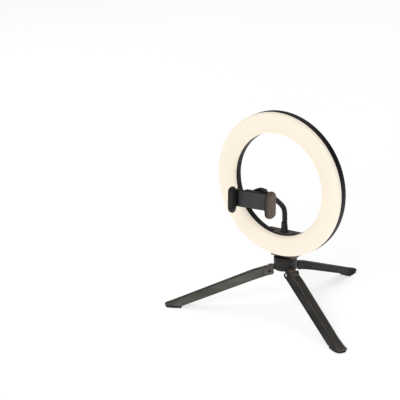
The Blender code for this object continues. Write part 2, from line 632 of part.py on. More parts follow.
def build_clamp(neck_end, neck_pivot):
    rotation = (-CLAMP_PITCH, 0, CLAMP_YAW)
    clamp = empty("clamp_frame", Vector(CLAMP_BALL) - neck_pivot, rotation, neck_end)

    def add(name, bm, material=None):
        return finish(name, bm, material, clamp)

    stem = degrees(pi - asin(STEM_RADIUS / CLAMP_BALL_RADIUS))
    ball = ball_outline(CLAMP_BALL_RADIUS, 0, stem, 8)
    ball[0] = (0, ball[0][1])
    ball += [(STEM_RADIUS, 10.6), (4.4, 11.2), (4.4, 18.6), (3.9, FITTING_END), (0, FITTING_END)]
    add("neck_ball", moved(turned(ball, 20), axis="Y"), "steel")

    seat = CLAMP_BALL_RADIUS + GAP
    low, high = -5.2, 3.2
    start = degrees(atan2(sqrt(seat**2 - low**2), -low))
    end = degrees(atan2(sqrt(seat**2 - high**2), -high))
    collet = [(8.6, low)] + ball_outline(seat, start, end, 8) + [(8.6, high)]
    add("ball_collet", moved(turned(collet, 20), axis="Y"), "nylon")

    nut = [(11.5, -4.6), (NUT_RADIUS - 0.6, -4.6), (NUT_RADIUS, -4.0), (NUT_RADIUS, 4.4)]
    nut += [(NUT_RADIUS - 1.8, 6.2), (6.6, 6.2), (6.6, 3.7), (11.5, 3.7)]
    add("lock_nut", moved(turned(nut, 32), axis="Y"), "black_plastic")

    body = add("clamp_body", box((-BODY_HALF, BODY_FRONT, -BODY_HALF_HEIGHT),
                                 (BODY_HALF, BODY_BACK, BODY_HALF_HEIGHT)), "black_plastic")
    hump = box((7.5, BODY_FRONT + 0.5, BODY_HALF_HEIGHT - 1), (14.8, BODY_BACK - 1, 15.5))
    combine(body, add("hump_join", hump), "UNION")
    rib_half = BODY_HALF - 0.4
    ribs = []
    for side in (-1, 1):
        inner, outer = sorted((side * 8.4, side * BODY_HALF_HEIGHT))
        ribs.append(box((-rib_half, PLATE_BACK + GAP, inner), (rib_half, BODY_FRONT + 1, outer)))
    combine(body, add("rib_join", joined(*ribs)), "UNION")
    combine(body, add("barrel_join", rod(11.2, BODY_BACK - 1, 3.4, axis="Y", segments=32)), "UNION")
    cuts = [rod(8.9, -5.8, 5, axis="Y", segments=24)]
    for z in (-ROD_Z, ROD_Z):
        cuts.append(rod(ROD_RADIUS + GAP, -17.6, BODY_HALF + 1, (0, ROD_Y, z), "X", 10))
    cuts.append(box((-15, -11.2, -3.2), (BODY_HALF + 1, -6.4, 3.2)))
    combine(body, add("body_cut", joined(*cuts)), "DIFFERENCE")
    holes = [(x, z) for x in (-14, 14) for z in (-9.7, 9.7)]
    cuts = [rod(1.0, -16, -9.5, (x, 0, z), "Y", 8) for x, z in holes]
    combine(body, add("screw_cut", joined(*cuts)), "DIFFERENCE")

    plate = add("clamp_plate", box((-PLATE_HALF, PLATE_FRONT, -PLATE_HALF_HEIGHT),
                                   (PLATE_HALF, PLATE_BACK, PLATE_HALF_HEIGHT)), "satin_black")
    cuts = [rod(1.0, -18, -14, (x, 0, z), "Y", 8) for x, z in holes]
    combine(plate, add("plate_cut", joined(*cuts)), "DIFFERENCE")
    screw = [(0, PLATE_FRONT + 0.1), (0.7, PLATE_FRONT + 0.1), (0.7, -9.9), (0, -9.9)]
    for i, (x, z) in enumerate(holes):
        add(f"plate_screw_{i + 1}", moved(turned(screw, 8), (x, 0, z), "Y"), "steel")
    add("plate_pad", box((-22.6, -17.2, -10.6), (22.6, PLATE_FRONT - GAP, 10.6)), "rubber")

    for name, (side, back, half_height, radii, (outer, front, foot_half)) in JAWS.items():
        jaw = add(name, jaw_bar(side, back, half_height, radii), "satin_black")
        near, far = sorted((side * JAW_INNER, side * outer))
        foot = box((near, front, -foot_half), (far, JAW_FOOT_BACK, foot_half))
        combine(jaw, add(name + "_join", foot), "UNION")
        pad_front = JAW_FRONT + 1.5
        pad_back = back - max(radii[3], 4.7)
        half, middle = (pad_back - pad_front) / 2, (pad_back + pad_front) / 2
        grip = [(middle + y, JAW_Z + z) for y, z in stadium(half, GRIP_HALF_HEIGHT)]
        near, far = sorted((side * (JAW_INNER - GAP), side * (JAW_INNER - 1.3)))
        add(name + "_pad", prism(grip, near, far, "X"), "rubber")
    tongue = box((-26, -14.4, -8), (-14, -12.9, 8))
    combine(bpy.data.objects["fixed_jaw"], add("tongue_fix", tongue), "UNION")
    add("jaw_slider", box((-13.7, -14.5, -8), (JAW_INNER - GAP, -12.9, 8)), "steel")
    for name, z in (("lower", -ROD_Z), ("upper", ROD_Z)):
        add("guide_rod_" + name, rod(ROD_RADIUS, -17, JAW_INNER - GAP, (0, ROD_Y, z), "X", 10), "steel")
    add("clamp_spring", helix(1.9, 0.35, -14.0, JAW_INNER - 1.0, 7, (-8.8, 0)), "steel")


# ---------------------------------------------------------------- assembly

def build():
    clear_scene()
    make_materials()
    stand = empty("stand", (0, STAND_Y, 0))
    build_hub(stand)
    for name, angle in LEG_ANGLES.items():
        build_leg(stand, name, angle)
    pivot = (0, 0, BALL_Z)
    head = empty("head", pivot, parent=stand)
    build_ball_joint(stand, head, pivot)
    build_ring(head, pivot)
    build_block(head, pivot)
    neck_end, neck_pivot = build_neck(head, pivot)
    build_clamp(neck_end, neck_pivot)
    bpy.context.view_layer.update()


build()
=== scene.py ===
"""Looks of the desktop ring light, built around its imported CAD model.

Pieces are shaped in millimetres, in the frame of the part that they stand for, and turn into metres
as each mesh is made. Places come from the CAD frame: boxes of its nodes and the axes of its joints.
"""
import json
from math import asin, atan2, cos, degrees, hypot, pi, radians, sin, sqrt

import bmesh
import bpy
from mathutils import Matrix, Vector


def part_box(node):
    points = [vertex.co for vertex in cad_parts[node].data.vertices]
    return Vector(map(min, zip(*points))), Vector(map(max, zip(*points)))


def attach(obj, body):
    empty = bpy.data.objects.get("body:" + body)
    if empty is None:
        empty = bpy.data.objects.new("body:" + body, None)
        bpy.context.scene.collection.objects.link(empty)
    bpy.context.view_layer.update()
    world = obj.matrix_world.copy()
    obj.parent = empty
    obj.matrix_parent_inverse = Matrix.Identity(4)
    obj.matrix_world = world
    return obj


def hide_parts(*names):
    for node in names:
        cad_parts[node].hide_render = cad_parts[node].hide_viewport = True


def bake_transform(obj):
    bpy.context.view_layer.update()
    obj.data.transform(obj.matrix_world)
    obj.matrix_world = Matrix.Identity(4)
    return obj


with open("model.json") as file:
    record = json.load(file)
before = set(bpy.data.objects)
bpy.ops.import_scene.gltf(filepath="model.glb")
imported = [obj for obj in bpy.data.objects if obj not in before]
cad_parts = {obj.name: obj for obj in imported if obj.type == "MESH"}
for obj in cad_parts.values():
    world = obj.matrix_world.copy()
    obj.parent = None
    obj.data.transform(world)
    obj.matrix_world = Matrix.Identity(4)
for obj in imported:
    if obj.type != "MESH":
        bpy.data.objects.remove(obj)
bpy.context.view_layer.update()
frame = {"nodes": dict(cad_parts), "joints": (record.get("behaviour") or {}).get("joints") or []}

MM = 0.001
GAP = 0.3

# Sizes that several parts share, and most of which the CAD model has too
RING_OUTER = 100.0
RING_INNER = 71.75
RING_FRONT = -16.4
RING_SEAM = -9.8
RING_BACK = 1.0
WALL = 1.6
BLOCK_TOP = 112.0
BLOCK_FOOT = 77.3
BLOCK_HEEL = 78.5
BLOCK_TOP_HALF = 32.0
BLOCK_FOOT_HALF = 20.0
BLOCK_FRONT = -7.0
BLOCK_BACK = 8.4
COVER_BACK = 10.2
COVER_SCREWS = [(-25.0, 106.5), (25.0, 106.5), (-18.5, 84.5), (18.5, 84.5)]
GLAND_Z = 95.0
HUB_RADIUS = 16.0
HUB_BOTTOM = 59.1
HUB_SPLIT = 73.6
HUB_TOP = 76.6
PIN_REACH = 21.3
PIN_Z = 57.4
PIN_RADIUS = 1.5
NECK_RADIUS = 3.5
FERRULE_TOP = 126.2
NECK_ROUTE = [
    (0.0, 0.0, 112.0), (0.0, 0.6, 121.0), (0.0, 1.3, 130.0), (0.0, 1.4, 138.0), (-0.1, 0.0, 144.9),
    (-0.4, -4.4, 151.0), (-0.9, -10.8, 157.2), (-1.5, -17.4, 162.9), (-2.1, -22.6, 167.6),
]
NECK_LEAD = 3.8
FITTING_END = 20.0
CLAMP_BALL_RADIUS = 5.5
STEM_RADIUS = 2.4
NUT_RADIUS = 13.6
PLATE_HALF = 24.1
PLATE_HALF_HEIGHT = 11.5
PLATE_FRONT = -16.4
PLATE_BACK = -14.8
JAW_INNER = 24.4
JAW_OUTER = 33.4
JAW_FRONT = -29.0
JAW_Z = -1.5
JAW_DOME = 7.0
JAW_FOOT_BACK = -6.6
# For each jaw: its body, its side, its back, half its height, the radii of its four corners in plan,
# and its foot's outer side, front and half height
JAWS = {
    "fixed_jaw": ("clamp", -1, -16.0, 18.0, (1.5, 3.0, 2.0, 6.0), (31.0, -17.0, 11.3)),
    "moving_jaw": ("moving_jaw", 1, -13.0, 18.4, (1.5, 5.0, 2.0, 4.0), (26.8, -18.0, 9.6)),
}
GRIP_HALF_HEIGHT = 10.5
GRIP_FACE = JAW_INNER - 1.3
BODY_HALF = 19.0
BODY_HALF_HEIGHT = 11.0
BODY_FRONT = -12.6
BODY_BACK = -5.4
ROD_Y = -9.2
ROD_Z = 7.2
ROD_RADIUS = 1.2

# Camera: where it looks, from where, and how long its lens is
VIEW_AZIMUTH = radians(39.75)
VIEW_ELEVATION = radians(17.57)
VIEW_ROLL = radians(-2.74)
VIEW_DISTANCE = 1.790
VIEW_LENS = 119.08
AIM_SIDE = -0.1132         # from the stand's axis, to the camera's right
AIM_HEIGHT = 0.1628


# ---- places from the frame

def joint(name):
    return next(j for j in frame["joints"] if j["name"] == name)


def middle(node):
    low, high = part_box(node)
    return (low + high) / 2


def place_of(origin, across, back):
    """A frame with its X along across and its Y along back."""
    x = Vector(across).normalized()
    y = Vector(back)
    y = (y - x * y.dot(x)).normalized()
    rotation = Matrix((x, y, x.cross(y))).transposed().to_4x4()
    return Matrix.Translation(origin) @ rotation


def leg_frame(name):
    """A leg's frame: its origin is on the hinge, and its X points outwards."""
    fold = joint("fold_" + name)
    return place_of(fold["pos_m"], Vector(fold["axis"]).cross((0, 0, 1)), fold["axis"])


hub_middle = middle("hub_collar")
STAND = Matrix.Translation((hub_middle.x, hub_middle.y, 0))
RING = Matrix.Translation((hub_middle.x, hub_middle.y, middle("rear_housing").z))
CLAMP = place_of(joint("clamp_turn")["pos_m"], joint("clamp_tilt")["axis"], joint("nut_turn")["axis"])
LEGS = {name: leg_frame(name) for name in ("front_right", "front_left", "rear")}


# ---- mesh helpers

def placed(name, data, place):
    obj = bpy.data.objects.new(name, data)
    bpy.context.scene.collection.objects.link(obj)
    obj.matrix_world = place
    return obj


def make(name, bm, place):
    """Object from a mesh in millimetres, standing in a frame."""
    bmesh.ops.recalc_face_normals(bm, faces=bm.faces)
    bmesh.ops.scale(bm, vec=(MM, MM, MM), verts=bm.verts)
    mesh = bpy.data.meshes.new(name)
    bm.to_mesh(mesh)
    bm.free()
    return placed(name, mesh, place)


def apply_modifiers(obj):
    """Replace an object's mesh with what its modifiers give."""
    depsgraph = bpy.context.evaluated_depsgraph_get()
    mesh = bpy.data.meshes.new_from_object(obj.evaluated_get(depsgraph))
    obj.modifiers.clear()
    old = obj.data
    obj.data = mesh
    bpy.data.meshes.remove(old)


def carve(obj, bm, operation="DIFFERENCE"):
    """Boolean with a mesh given in the object's own frame."""
    tool = make(obj.name + "_tool", bm, obj.matrix_world)
    modifier = obj.modifiers.new("cut", "BOOLEAN")
    modifier.operation = operation
    modifier.solver = "EXACT"
    modifier.object = tool
    apply_modifiers(obj)
    bpy.data.objects.remove(tool, do_unlink=True)


def soften(obj, width, segments, angle):
    """Round the edges that are sharper than an angle."""
    modifier = obj.modifiers.new("edges", "BEVEL")
    modifier.width = width * MM
    modifier.segments = segments
    modifier.limit_method = "ANGLE"
    modifier.angle_limit = radians(angle)
    apply_modifiers(obj)


def smooth(obj, angle):
    """Smooth shading that keeps flat faces flat, and edges sharper than an angle sharp."""
    obj.data.shade_smooth()
    obj.data.set_sharp_from_angle(angle=radians(angle))
    modifier = obj.modifiers.new("normals", "WEIGHTED_NORMAL")
    modifier.keep_sharp = True


def planted(obj):
    """Move a piece's mesh to its place in the world. The mesh keeps its own coordinates as "local"."""
    mesh = obj.data
    own = [value for vert in mesh.vertices for value in vert.co]
    mesh.attributes.new("local", "FLOAT_VECTOR", "POINT").data.foreach_set("vector", own)
    mesh.transform(obj.matrix_world)
    obj.matrix_world = Matrix.Identity(4)
    return obj


def settle(obj, finish, body, slot, *nodes, angle=35):
    """Smooth a piece and give it its finish, its body and the CAD nodes that it stands for."""
    smooth(obj, angle)
    obj.data.materials.clear()
    obj.data.materials.append(MATERIALS[finish])
    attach(obj, body)
    if nodes:
        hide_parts(*nodes)


def add(name, bm, place, finish, *rest, angle=35):
    """A piece from its mesh, settled with its finish, its body and its CAD nodes. Its slot is not used."""
    settle(make(name, bm, place), finish, *rest, angle=angle)


def turned(profile, segments):
    """Solid of revolution about Z from (radius, height) points. A profile that starts and ends on
    the axis is a full body, and any other is the closed outline of a ring."""
    bm = bmesh.new()
    rings = []
    for radius, height in profile:
        if radius < 1e-6:
            rings.append([bm.verts.new((0, 0, height))])
            continue
        turns = [2 * pi * i / segments for i in range(segments)]
        rings.append([bm.verts.new((radius * cos(a), radius * sin(a), height)) for a in turns])
    followers = rings[1:]
    if len(rings[0]) > 1:
        followers = followers + rings[:1]
    for lower, upper in zip(rings, followers):
        for i in range(segments):
            j = (i + 1) % segments
            corners = [lower[i % len(lower)], lower[j % len(lower)]]
            corners += [upper[j % len(upper)], upper[i % len(upper)]]
            bm.faces.new(list(dict.fromkeys(corners)))
    return bm


def moved(bm, offset=(0, 0, 0), axis="Z"):
    """Turn a mesh made about Z onto another axis, then move it."""
    turns = {"X": Matrix.Rotation(pi / 2, 4, "Y"), "Y": Matrix.Rotation(-pi / 2, 4, "X")}
    if axis in turns:
        bmesh.ops.transform(bm, matrix=turns[axis], verts=bm.verts)
    bmesh.ops.translate(bm, vec=offset, verts=bm.verts)
    return bm


def turned_back(profile, segments):
    """The same about Y."""
    return moved(turned(profile, segments), axis="Y")


def rod(radius, low, high, offset=(0, 0, 0), axis="Z", segments=32):
    return moved(turned([(0, low), (radius, low), (radius, high), (0, high)], segments), offset, axis)


def loft(sections):
    """Solid through sections that have the same number of points, closed at both ends."""
    bm = bmesh.new()
    loops = [[bm.verts.new(point) for point in section] for section in sections]
    count = len(loops[0])
    for near, far in zip(loops, loops[1:]):
        for i in range(count):
            j = (i + 1) % count
            bm.faces.new((near[i], near[j], far[j], far[i]))
    bm.faces.new(loops[0])
    bm.faces.new(list(reversed(loops[-1])))
    return bm


def prism(outline, low, high, axis="Y"):
    """Extrude an outline. Its two numbers are the coordinates across the axis, in X, Y, Z order."""
    place = {
        "X": lambda a, b, t: (t, a, b),
        "Y": lambda a, b, t: (a, t, b),
        "Z": lambda a, b, t: (a, b, t),
    }[axis]
    return loft([[place(a, b, t) for a, b in outline] for t in (low, high)])


def box(low, high):
    outline = [(low[0], low[2]), (high[0], low[2]), (high[0], high[2]), (low[0], high[2])]
    return prism(outline, low[1], high[1])


def joined(*parts):
    """Put several meshes into one."""
    whole = bmesh.new()
    for part in parts:
        mesh = bpy.data.meshes.new("scratch")
        bmesh.ops.recalc_face_normals(part, faces=part.faces)
        part.to_mesh(mesh)
        part.free()
        whole.from_mesh(mesh)
        bpy.data.meshes.remove(mesh)
    return whole


def arc(radius, start, end, steps, centre=(0, 0)):
    """Points on an arc. Angles are in degrees."""
    angles = [radians(start + (end - start) * i / steps) for i in range(steps + 1)]
    return [(centre[0] + radius * cos(a), centre[1] + radius * sin(a)) for a in angles]


def rounded(outline, radius):
    """A closed outline with each corner rounded."""
    steps = 5
    points = []
    for i, corner in enumerate(outline):
        corner = Vector(corner)
        before = Vector(outline[i - 1]) - corner
        after = Vector(outline[(i + 1) % len(outline)]) - corner
        half = before.angle(after) / 2
        reach = min(radius / max(sin(half) / cos(half), 1e-3), before.length * 0.45, after.length * 0.45)
        start = corner + before.normalized() * reach
        end = corner + after.normalized() * reach
        for k in range(steps + 1):
            t = k / steps
            points.append(tuple(start * (1 - t)**2 + corner * (2 * t * (1 - t)) + end * t**2))
    return points


def ball_outline(radius, start, end, steps):
    """Part of a ball's outline about the ball's middle. Angles are in degrees from straight down."""
    return arc(radius, start - 90, end - 90, steps)


def rectangle(half_width, half_height):
    return [(-half_width, -half_height), (half_width, -half_height),
            (half_width, half_height), (-half_width, half_height)]


def add_screw(name, place, x, face, z, radius, height, recess, *nodes):
    """Pan-head screw of the ring's back, with a cross recess. Its face looks backwards, at y = face.
    A recess is its half length and its depth."""
    size, depth = recess
    profile = [(0, -height), (radius, -height), (radius, -height * 0.45)]
    profile += [(radius * 0.94, -height * 0.22), (radius * 0.78, -height * 0.06), (0, 0)]
    place = place @ Matrix.Translation(Vector((x, face, z)) * MM)
    screw = make(name, turned(profile, 40), place @ Matrix.Rotation(-pi / 2, 4, "X"))
    narrow = size * 0.24
    for half_x, half_y in ((size, narrow), (narrow, size)):
        carve(screw, loft([[(a * share, b * share, level) for a, b in rectangle(half_x, half_y)]
                           for share, level in ((0.45, -depth), (1.0, 0.2))]))
    settle(screw, "steel", "ring_head", "steel", *nodes)


# ---- materials

def nodes_of(name):
    material = bpy.data.materials.new(name)
    material.use_nodes = True
    tree = material.node_tree
    return material, tree, tree.nodes["Principled BSDF"]


def add_noise(tree, scale, detail, stretch=(1, 1, 1), stored=None):
    """Noise in an object's own coordinates, or in the ones that its mesh stores."""
    place = tree.nodes.new("ShaderNodeAttribute" if stored else "ShaderNodeTexCoord")
    if stored:
        place.attribute_name = stored
    mapping = tree.nodes.new("ShaderNodeMapping")
    mapping.inputs["Scale"].default_value = stretch
    texture = tree.nodes.new("ShaderNodeTexNoise")
    texture.inputs["Scale"].default_value = scale
    texture.inputs["Detail"].default_value = detail
    texture.inputs["Roughness"].default_value = 0.55
    tree.links.new(place.outputs["Vector" if stored else "Object"], mapping.inputs["Vector"])
    tree.links.new(mapping.outputs["Vector"], texture.inputs["Vector"])
    return texture.outputs["Fac"]


def spread(tree, value, low=0, high=1, start=0.3, end=0.7):
    """Map a value, by default the usual span of a noise, onto a range of numbers."""
    node = tree.nodes.new("ShaderNodeMapRange")
    node.inputs["From Min"].default_value = start
    node.inputs["From Max"].default_value = end
    node.inputs["To Min"].default_value = low
    node.inputs["To Max"].default_value = high
    tree.links.new(value, node.inputs["Value"])
    return node.outputs["Result"]


def mixed(tree, value, first, second):
    """Blend of two colours. Each is three numbers, or a socket."""
    node = tree.nodes.new("ShaderNodeMix")
    node.data_type = "RGBA"
    tree.links.new(value, node.inputs["Factor"])
    for name, colour in (("A", first), ("B", second)):
        if isinstance(colour, tuple):
            node.inputs[name].default_value = (*colour, 1)
        else:
            tree.links.new(colour, node.inputs[name])
    return node.outputs["Result"]


def finish_surface(tree, shader, colour, gloss, relief, depth, strength):
    """Link a surface's colour, its roughness and its fine relief, which is depth mm deep."""
    bump = tree.nodes.new("ShaderNodeBump")
    bump.inputs["Strength"].default_value = strength
    bump.inputs["Distance"].default_value = depth * MM
    tree.links.new(relief, bump.inputs["Height"])
    for name, value in (("Base Color", colour), ("Roughness", gloss), ("Normal", bump.outputs["Normal"])):
        tree.links.new(value, shader.inputs[name])


def moulded(name, dark, light, roughness, grain, depth, specular=0.5):
    """Moulded or coated surface: cloudy colour, uneven gloss and a fine grain of a given size in mm."""
    material, tree, shader = nodes_of(name)
    colour = mixed(tree, spread(tree, add_noise(tree, 55, 4)), dark, light)
    gloss = spread(tree, add_noise(tree, 160, 5), *roughness)
    finish_surface(tree, shader, colour, gloss, add_noise(tree, 1 / (grain * MM), 3), depth, 0.8)
    shader.inputs["Specular IOR Level"].default_value = specular
    return material


def opal_material():
    """Lit opal plastic: warmer towards the ring's inner edge, with faint clouds."""
    material, tree, shader = nodes_of("opal")
    place = tree.nodes.new("ShaderNodeTexCoord")
    axes = tree.nodes.new("ShaderNodeVectorMath")
    axes.operation = "MULTIPLY"
    axes.inputs[1].default_value = (1, 0, 1)
    radius = tree.nodes.new("ShaderNodeVectorMath")
    radius.operation = "LENGTH"
    tree.links.new(place.outputs["Object"], axes.inputs[0])
    tree.links.new(axes.outputs["Vector"], radius.inputs[0])
    outward = spread(tree, radius.outputs["Value"], 0, 1, RING_INNER * MM, RING_OUTER * MM)
    ring_tone = mixed(tree, outward, (0.57, 0.47, 0.35), (0.61, 0.54, 0.44))
    noise = add_noise(tree, 18, 3)
    clouds = mixed(tree, spread(tree, noise), (0.56, 0.48, 0.37), (0.62, 0.54, 0.43))
    colour = mixed(tree, spread(tree, noise, 0.15, 0.35), ring_tone, clouds)
    gloss = spread(tree, add_noise(tree, 240, 3), 0.34, 0.42)
    finish_surface(tree, shader, colour, gloss, add_noise(tree, 900, 2), 0.01, 0.4)
    shader.inputs["Specular IOR Level"].default_value = 0.35
    shader.inputs["Emission Color"].default_value = (0.95, 0.895, 0.80, 1)
    shader.inputs["Emission Strength"].default_value = 0.5
    return material


def leg_material(name, side, edge, top):
    """Coated leg with lengthwise streaks, and with painted light and shade in its tones: lit or shaded
    walls, a painted highlight along its upper edges and painted shade on its top. Each tone is a dark and a
    light colour."""
    material, tree, shader = nodes_of(name)
    lengthwise = (0.05, 1.0, 1.0)
    streaks = spread(tree, add_noise(tree, 90, 5, (0.04, 1.0, 1.0), "local"))
    height = tree.nodes.new("ShaderNodeAttribute")
    height.attribute_name = "strip"
    walls, edges, tops = (mixed(tree, streaks, dark, light) for dark, light in (side, edge, top))
    # Painted highlight along the upper edges, then painted shade on the top, by the strip mask
    lower = mixed(tree, spread(tree, height.outputs["Fac"], 0, 1, 0.15, 0.45), walls, edges)
    colour = mixed(tree, spread(tree, height.outputs["Fac"], 0, 1, 0.50, 0.80), lower, tops)
    gloss = spread(tree, add_noise(tree, 160, 5, lengthwise, "local"), 0.36, 0.52)
    relief = add_noise(tree, 2000, 3, lengthwise, "local")
    finish_surface(tree, shader, colour, gloss, relief, 0.03, 0.8)
    shader.inputs["Metallic"].default_value = 0.2
    return material


def jaw_material():
    """Grained black coat of the jaws, with painted shade and painted light: the fixed jaw painted darker
    than the moving one as shade, and the ring's warm glow painted in brown over the moving jaw's outer side.
    """
    material, tree, shader = nodes_of("jaw_black_painted_light")
    place = tree.nodes.new("ShaderNodeTexCoord")
    split = tree.nodes.new("ShaderNodeSeparateXYZ")
    tree.links.new(place.outputs["Object"], split.inputs[0])
    across = split.outputs["X"]
    # Painted shade: the fixed jaw, at negative X, darker than the moving one
    shade_side_mask = spread(tree, across, 0, 1, -0.01, 0.01)
    coat = mixed(tree, shade_side_mask, (0.012, 0.0115, 0.0115), (0.030, 0.027, 0.025))
    grain = add_noise(tree, 1100, 4)
    # Painted warm glow of the ring: brown, mottled by the grain, faded in over the moving jaw's outer side
    brown = mixed(tree, spread(tree, grain), (0.085, 0.057, 0.044), (0.205, 0.148, 0.118))
    edge = spread(tree, across, 0, 1, 0.0270, 0.0325)
    gloss = spread(tree, add_noise(tree, 160, 5), 0.38, 0.52)
    finish_surface(tree, shader, mixed(tree, edge, coat, brown), gloss, grain, 0.03, 0.8)
    shader.inputs["Specular IOR Level"].default_value = 0.3
    return material


def brushed(name, colour, roughness, stretch):
    """Bare metal with fine lines along the short side of the stretch."""
    material, tree, shader = nodes_of(name)
    lines = add_noise(tree, 900, 3, stretch)
    darker = tuple(c * 0.78 for c in colour)
    tone = mixed(tree, spread(tree, lines), darker, colour)
    finish_surface(tree, shader, tone, spread(tree, lines, *roughness), lines, 0.01, 0.5)
    shader.inputs["Metallic"].default_value = 1.0
    return material


def circuit(name, base, trace):
    """Solder mask over copper tracks."""
    material, tree, shader = nodes_of(name)
    voronoi = tree.nodes.new("ShaderNodeTexVoronoi")
    voronoi.feature = "DISTANCE_TO_EDGE"
    voronoi.inputs["Scale"].default_value = 420
    place = tree.nodes.new("ShaderNodeTexCoord")
    tree.links.new(place.outputs["Object"], voronoi.inputs["Vector"])
    tracks = spread(tree, voronoi.outputs["Distance"], 1, 0, 0.05, 0.12)
    gloss = spread(tree, add_noise(tree, 300, 3), 0.35, 0.5)
    finish_surface(tree, shader, mixed(tree, tracks, base, trace), gloss, tracks, 0.03, 0.6)
    return material


MATERIALS = {
    "opal": opal_material(),
    "housing": moulded(
        "housing", (0.0075, 0.0065, 0.006), (0.012, 0.0105, 0.0095), (0.38, 0.50), 0.28, 0.012, 0.16),
    "satin": moulded(
        "satin_black", (0.014, 0.013, 0.012), (0.022, 0.0205, 0.019), (0.36, 0.48), 0.22, 0.010, 0.3),
    "body": moulded(
        "body_black", (0.012, 0.011, 0.010), (0.019, 0.0175, 0.016), (0.42, 0.54), 0.25, 0.014, 0.25),
    # Black block, painted brown as the ring's warm light falling on its tongue
    "block": moulded(
        "block_black_painted_glow", (0.085, 0.070, 0.060), (0.130, 0.108, 0.092), (0.36, 0.48), 0.25, 0.012, 0.4),
    # Black lugs and root caps, painted brown as a reflection of the ring's warm light
    "lug": moulded("lug_black_painted_glow", (0.090, 0.070, 0.056), (0.145, 0.116, 0.095), (0.34, 0.46), 0.22, 0.010),
    "plate": moulded(
        "plate_grey", (0.042, 0.042, 0.043), (0.052, 0.052, 0.053), (0.48, 0.60), 0.20, 0.010, 0.4),
    "jaw": jaw_material(),
    # Copies of one leg coat that differ only in painted light and shade: lit walls on the front-left leg,
    # shaded walls on the others, and painted highlights on the upper edges, warm from the ring on the front
    # legs
    "leg": leg_material(
        "leg_finish", ((0.046, 0.045, 0.037), (0.115, 0.113, 0.096)),
        ((0.090, 0.074, 0.058), (0.160, 0.135, 0.108)), ((0.016, 0.015, 0.014), (0.044, 0.040, 0.036))),
    "leg_painted_glow": leg_material(
        "leg_finish_brown", ((0.012, 0.012, 0.013), (0.046, 0.042, 0.040)),
        ((0.100, 0.078, 0.060), (0.190, 0.155, 0.122)), ((0.014, 0.013, 0.012), (0.052, 0.044, 0.037))),
    "leg_painted_shade": leg_material(
        "leg_finish_dark", ((0.008, 0.008, 0.010), (0.024, 0.024, 0.029)),
        ((0.070, 0.070, 0.074), (0.120, 0.120, 0.125)), ((0.010, 0.010, 0.011), (0.026, 0.026, 0.029))),
    "sleeve": moulded(
        "sleeve", (0.013, 0.012, 0.012), (0.019, 0.018, 0.0175), (0.44, 0.54), 0.18, 0.010, 0.25),
    "rubber": moulded(
        "rubber", (0.010, 0.010, 0.010), (0.022, 0.021, 0.020), (0.66, 0.82), 0.20, 0.025, 0.3),
    "nylon": moulded("nylon", (0.46, 0.45, 0.41), (0.56, 0.55, 0.50), (0.45, 0.60), 0.30, 0.010),
    "chrome": brushed("chrome", (0.80, 0.80, 0.80), (0.10, 0.22), (1, 1, 0.1)),
    "steel": brushed("steel", (0.55, 0.55, 0.55), (0.25, 0.40), (0.08, 1, 1)),
    "brass": brushed("brass", (0.72, 0.52, 0.22), (0.22, 0.38), (1, 1, 0.1)),
    "board_white": circuit("board_white", (0.78, 0.78, 0.75), (0.62, 0.60, 0.52)),
    "board_green": circuit("board_green", (0.015, 0.13, 0.05), (0.06, 0.25, 0.10)),
    "led_warm": moulded("led_warm", (0.95, 0.62, 0.20), (1.0, 0.72, 0.28), (0.25, 0.35), 0.20, 0.005),
    "led_cool": moulded("led_cool", (0.78, 0.86, 0.95), (0.88, 0.94, 1.0), (0.25, 0.35), 0.20, 0.005),
}


# ---- light ring

def diffuser_outline():
    """Opal front in section: softly crowned face, round shoulders and a skirt on each side."""
    outer = RING_OUTER - 0.2
    inner = RING_INNER + 0.2
    rear = RING_SEAM - 0.1
    turn = 3.0
    crown = 0.35
    face = RING_FRONT + crown
    outline = [(outer, rear)]
    outline += arc(turn, 0, -90, 10, (outer - turn, face + turn))
    middle_radius = (outer + inner) / 2
    span = (outer - inner) / 2 - turn
    for k in range(1, 10):
        t = 1 - 2 * k / 10
        outline.append((middle_radius + span * t, face - crown * (1 - t * t)))
    outline += arc(turn, -90, -180, 10, (inner + turn, face + turn))
    outline += [(inner, rear), (inner + WALL, rear), (inner + WALL, face + turn)]
    outline += [(inner + turn, face + WALL + 0.3), (outer - turn, face + WALL + 0.3)]
    outline += [(outer - WALL, face + turn), (outer - WALL, rear)]
    return outline


def housing_outline():
    """Black housing in section: a lip at the seam, a fine groove round each side and round edges."""
    front = RING_SEAM + 0.2
    turn = 1.4
    floor = RING_BACK - WALL - 0.2
    groove = [(0.0, 1.0), (-0.35, 1.25), (-0.35, 1.55), (0.0, 1.8)]
    outline = [(RING_OUTER - 0.25, front), (RING_OUTER, front + 0.25)]
    outline += [(RING_OUTER + drop, front + y) for drop, y in groove]
    outline += arc(turn, 0, 90, 8, (RING_OUTER - turn, RING_BACK - turn))
    for radius in (RING_OUTER - 4.4, RING_INNER + 4.4):
        outline += [(radius + 0.5, RING_BACK), (radius + 0.3, RING_BACK - 0.3)]
        outline += [(radius - 0.3, RING_BACK - 0.3), (radius - 0.5, RING_BACK)]
    outline += arc(turn, 90, 180, 8, (RING_INNER + turn, RING_BACK - turn))
    outline += [(RING_INNER - drop, front + y) for drop, y in reversed(groove)]
    outline += [(RING_INNER, front + 0.25), (RING_INNER + 0.25, front)]
    outline += [(RING_INNER + WALL, front), (RING_INNER + WALL, floor)]
    outline += [(RING_OUTER - WALL, floor), (RING_OUTER - WALL, front)]
    return outline


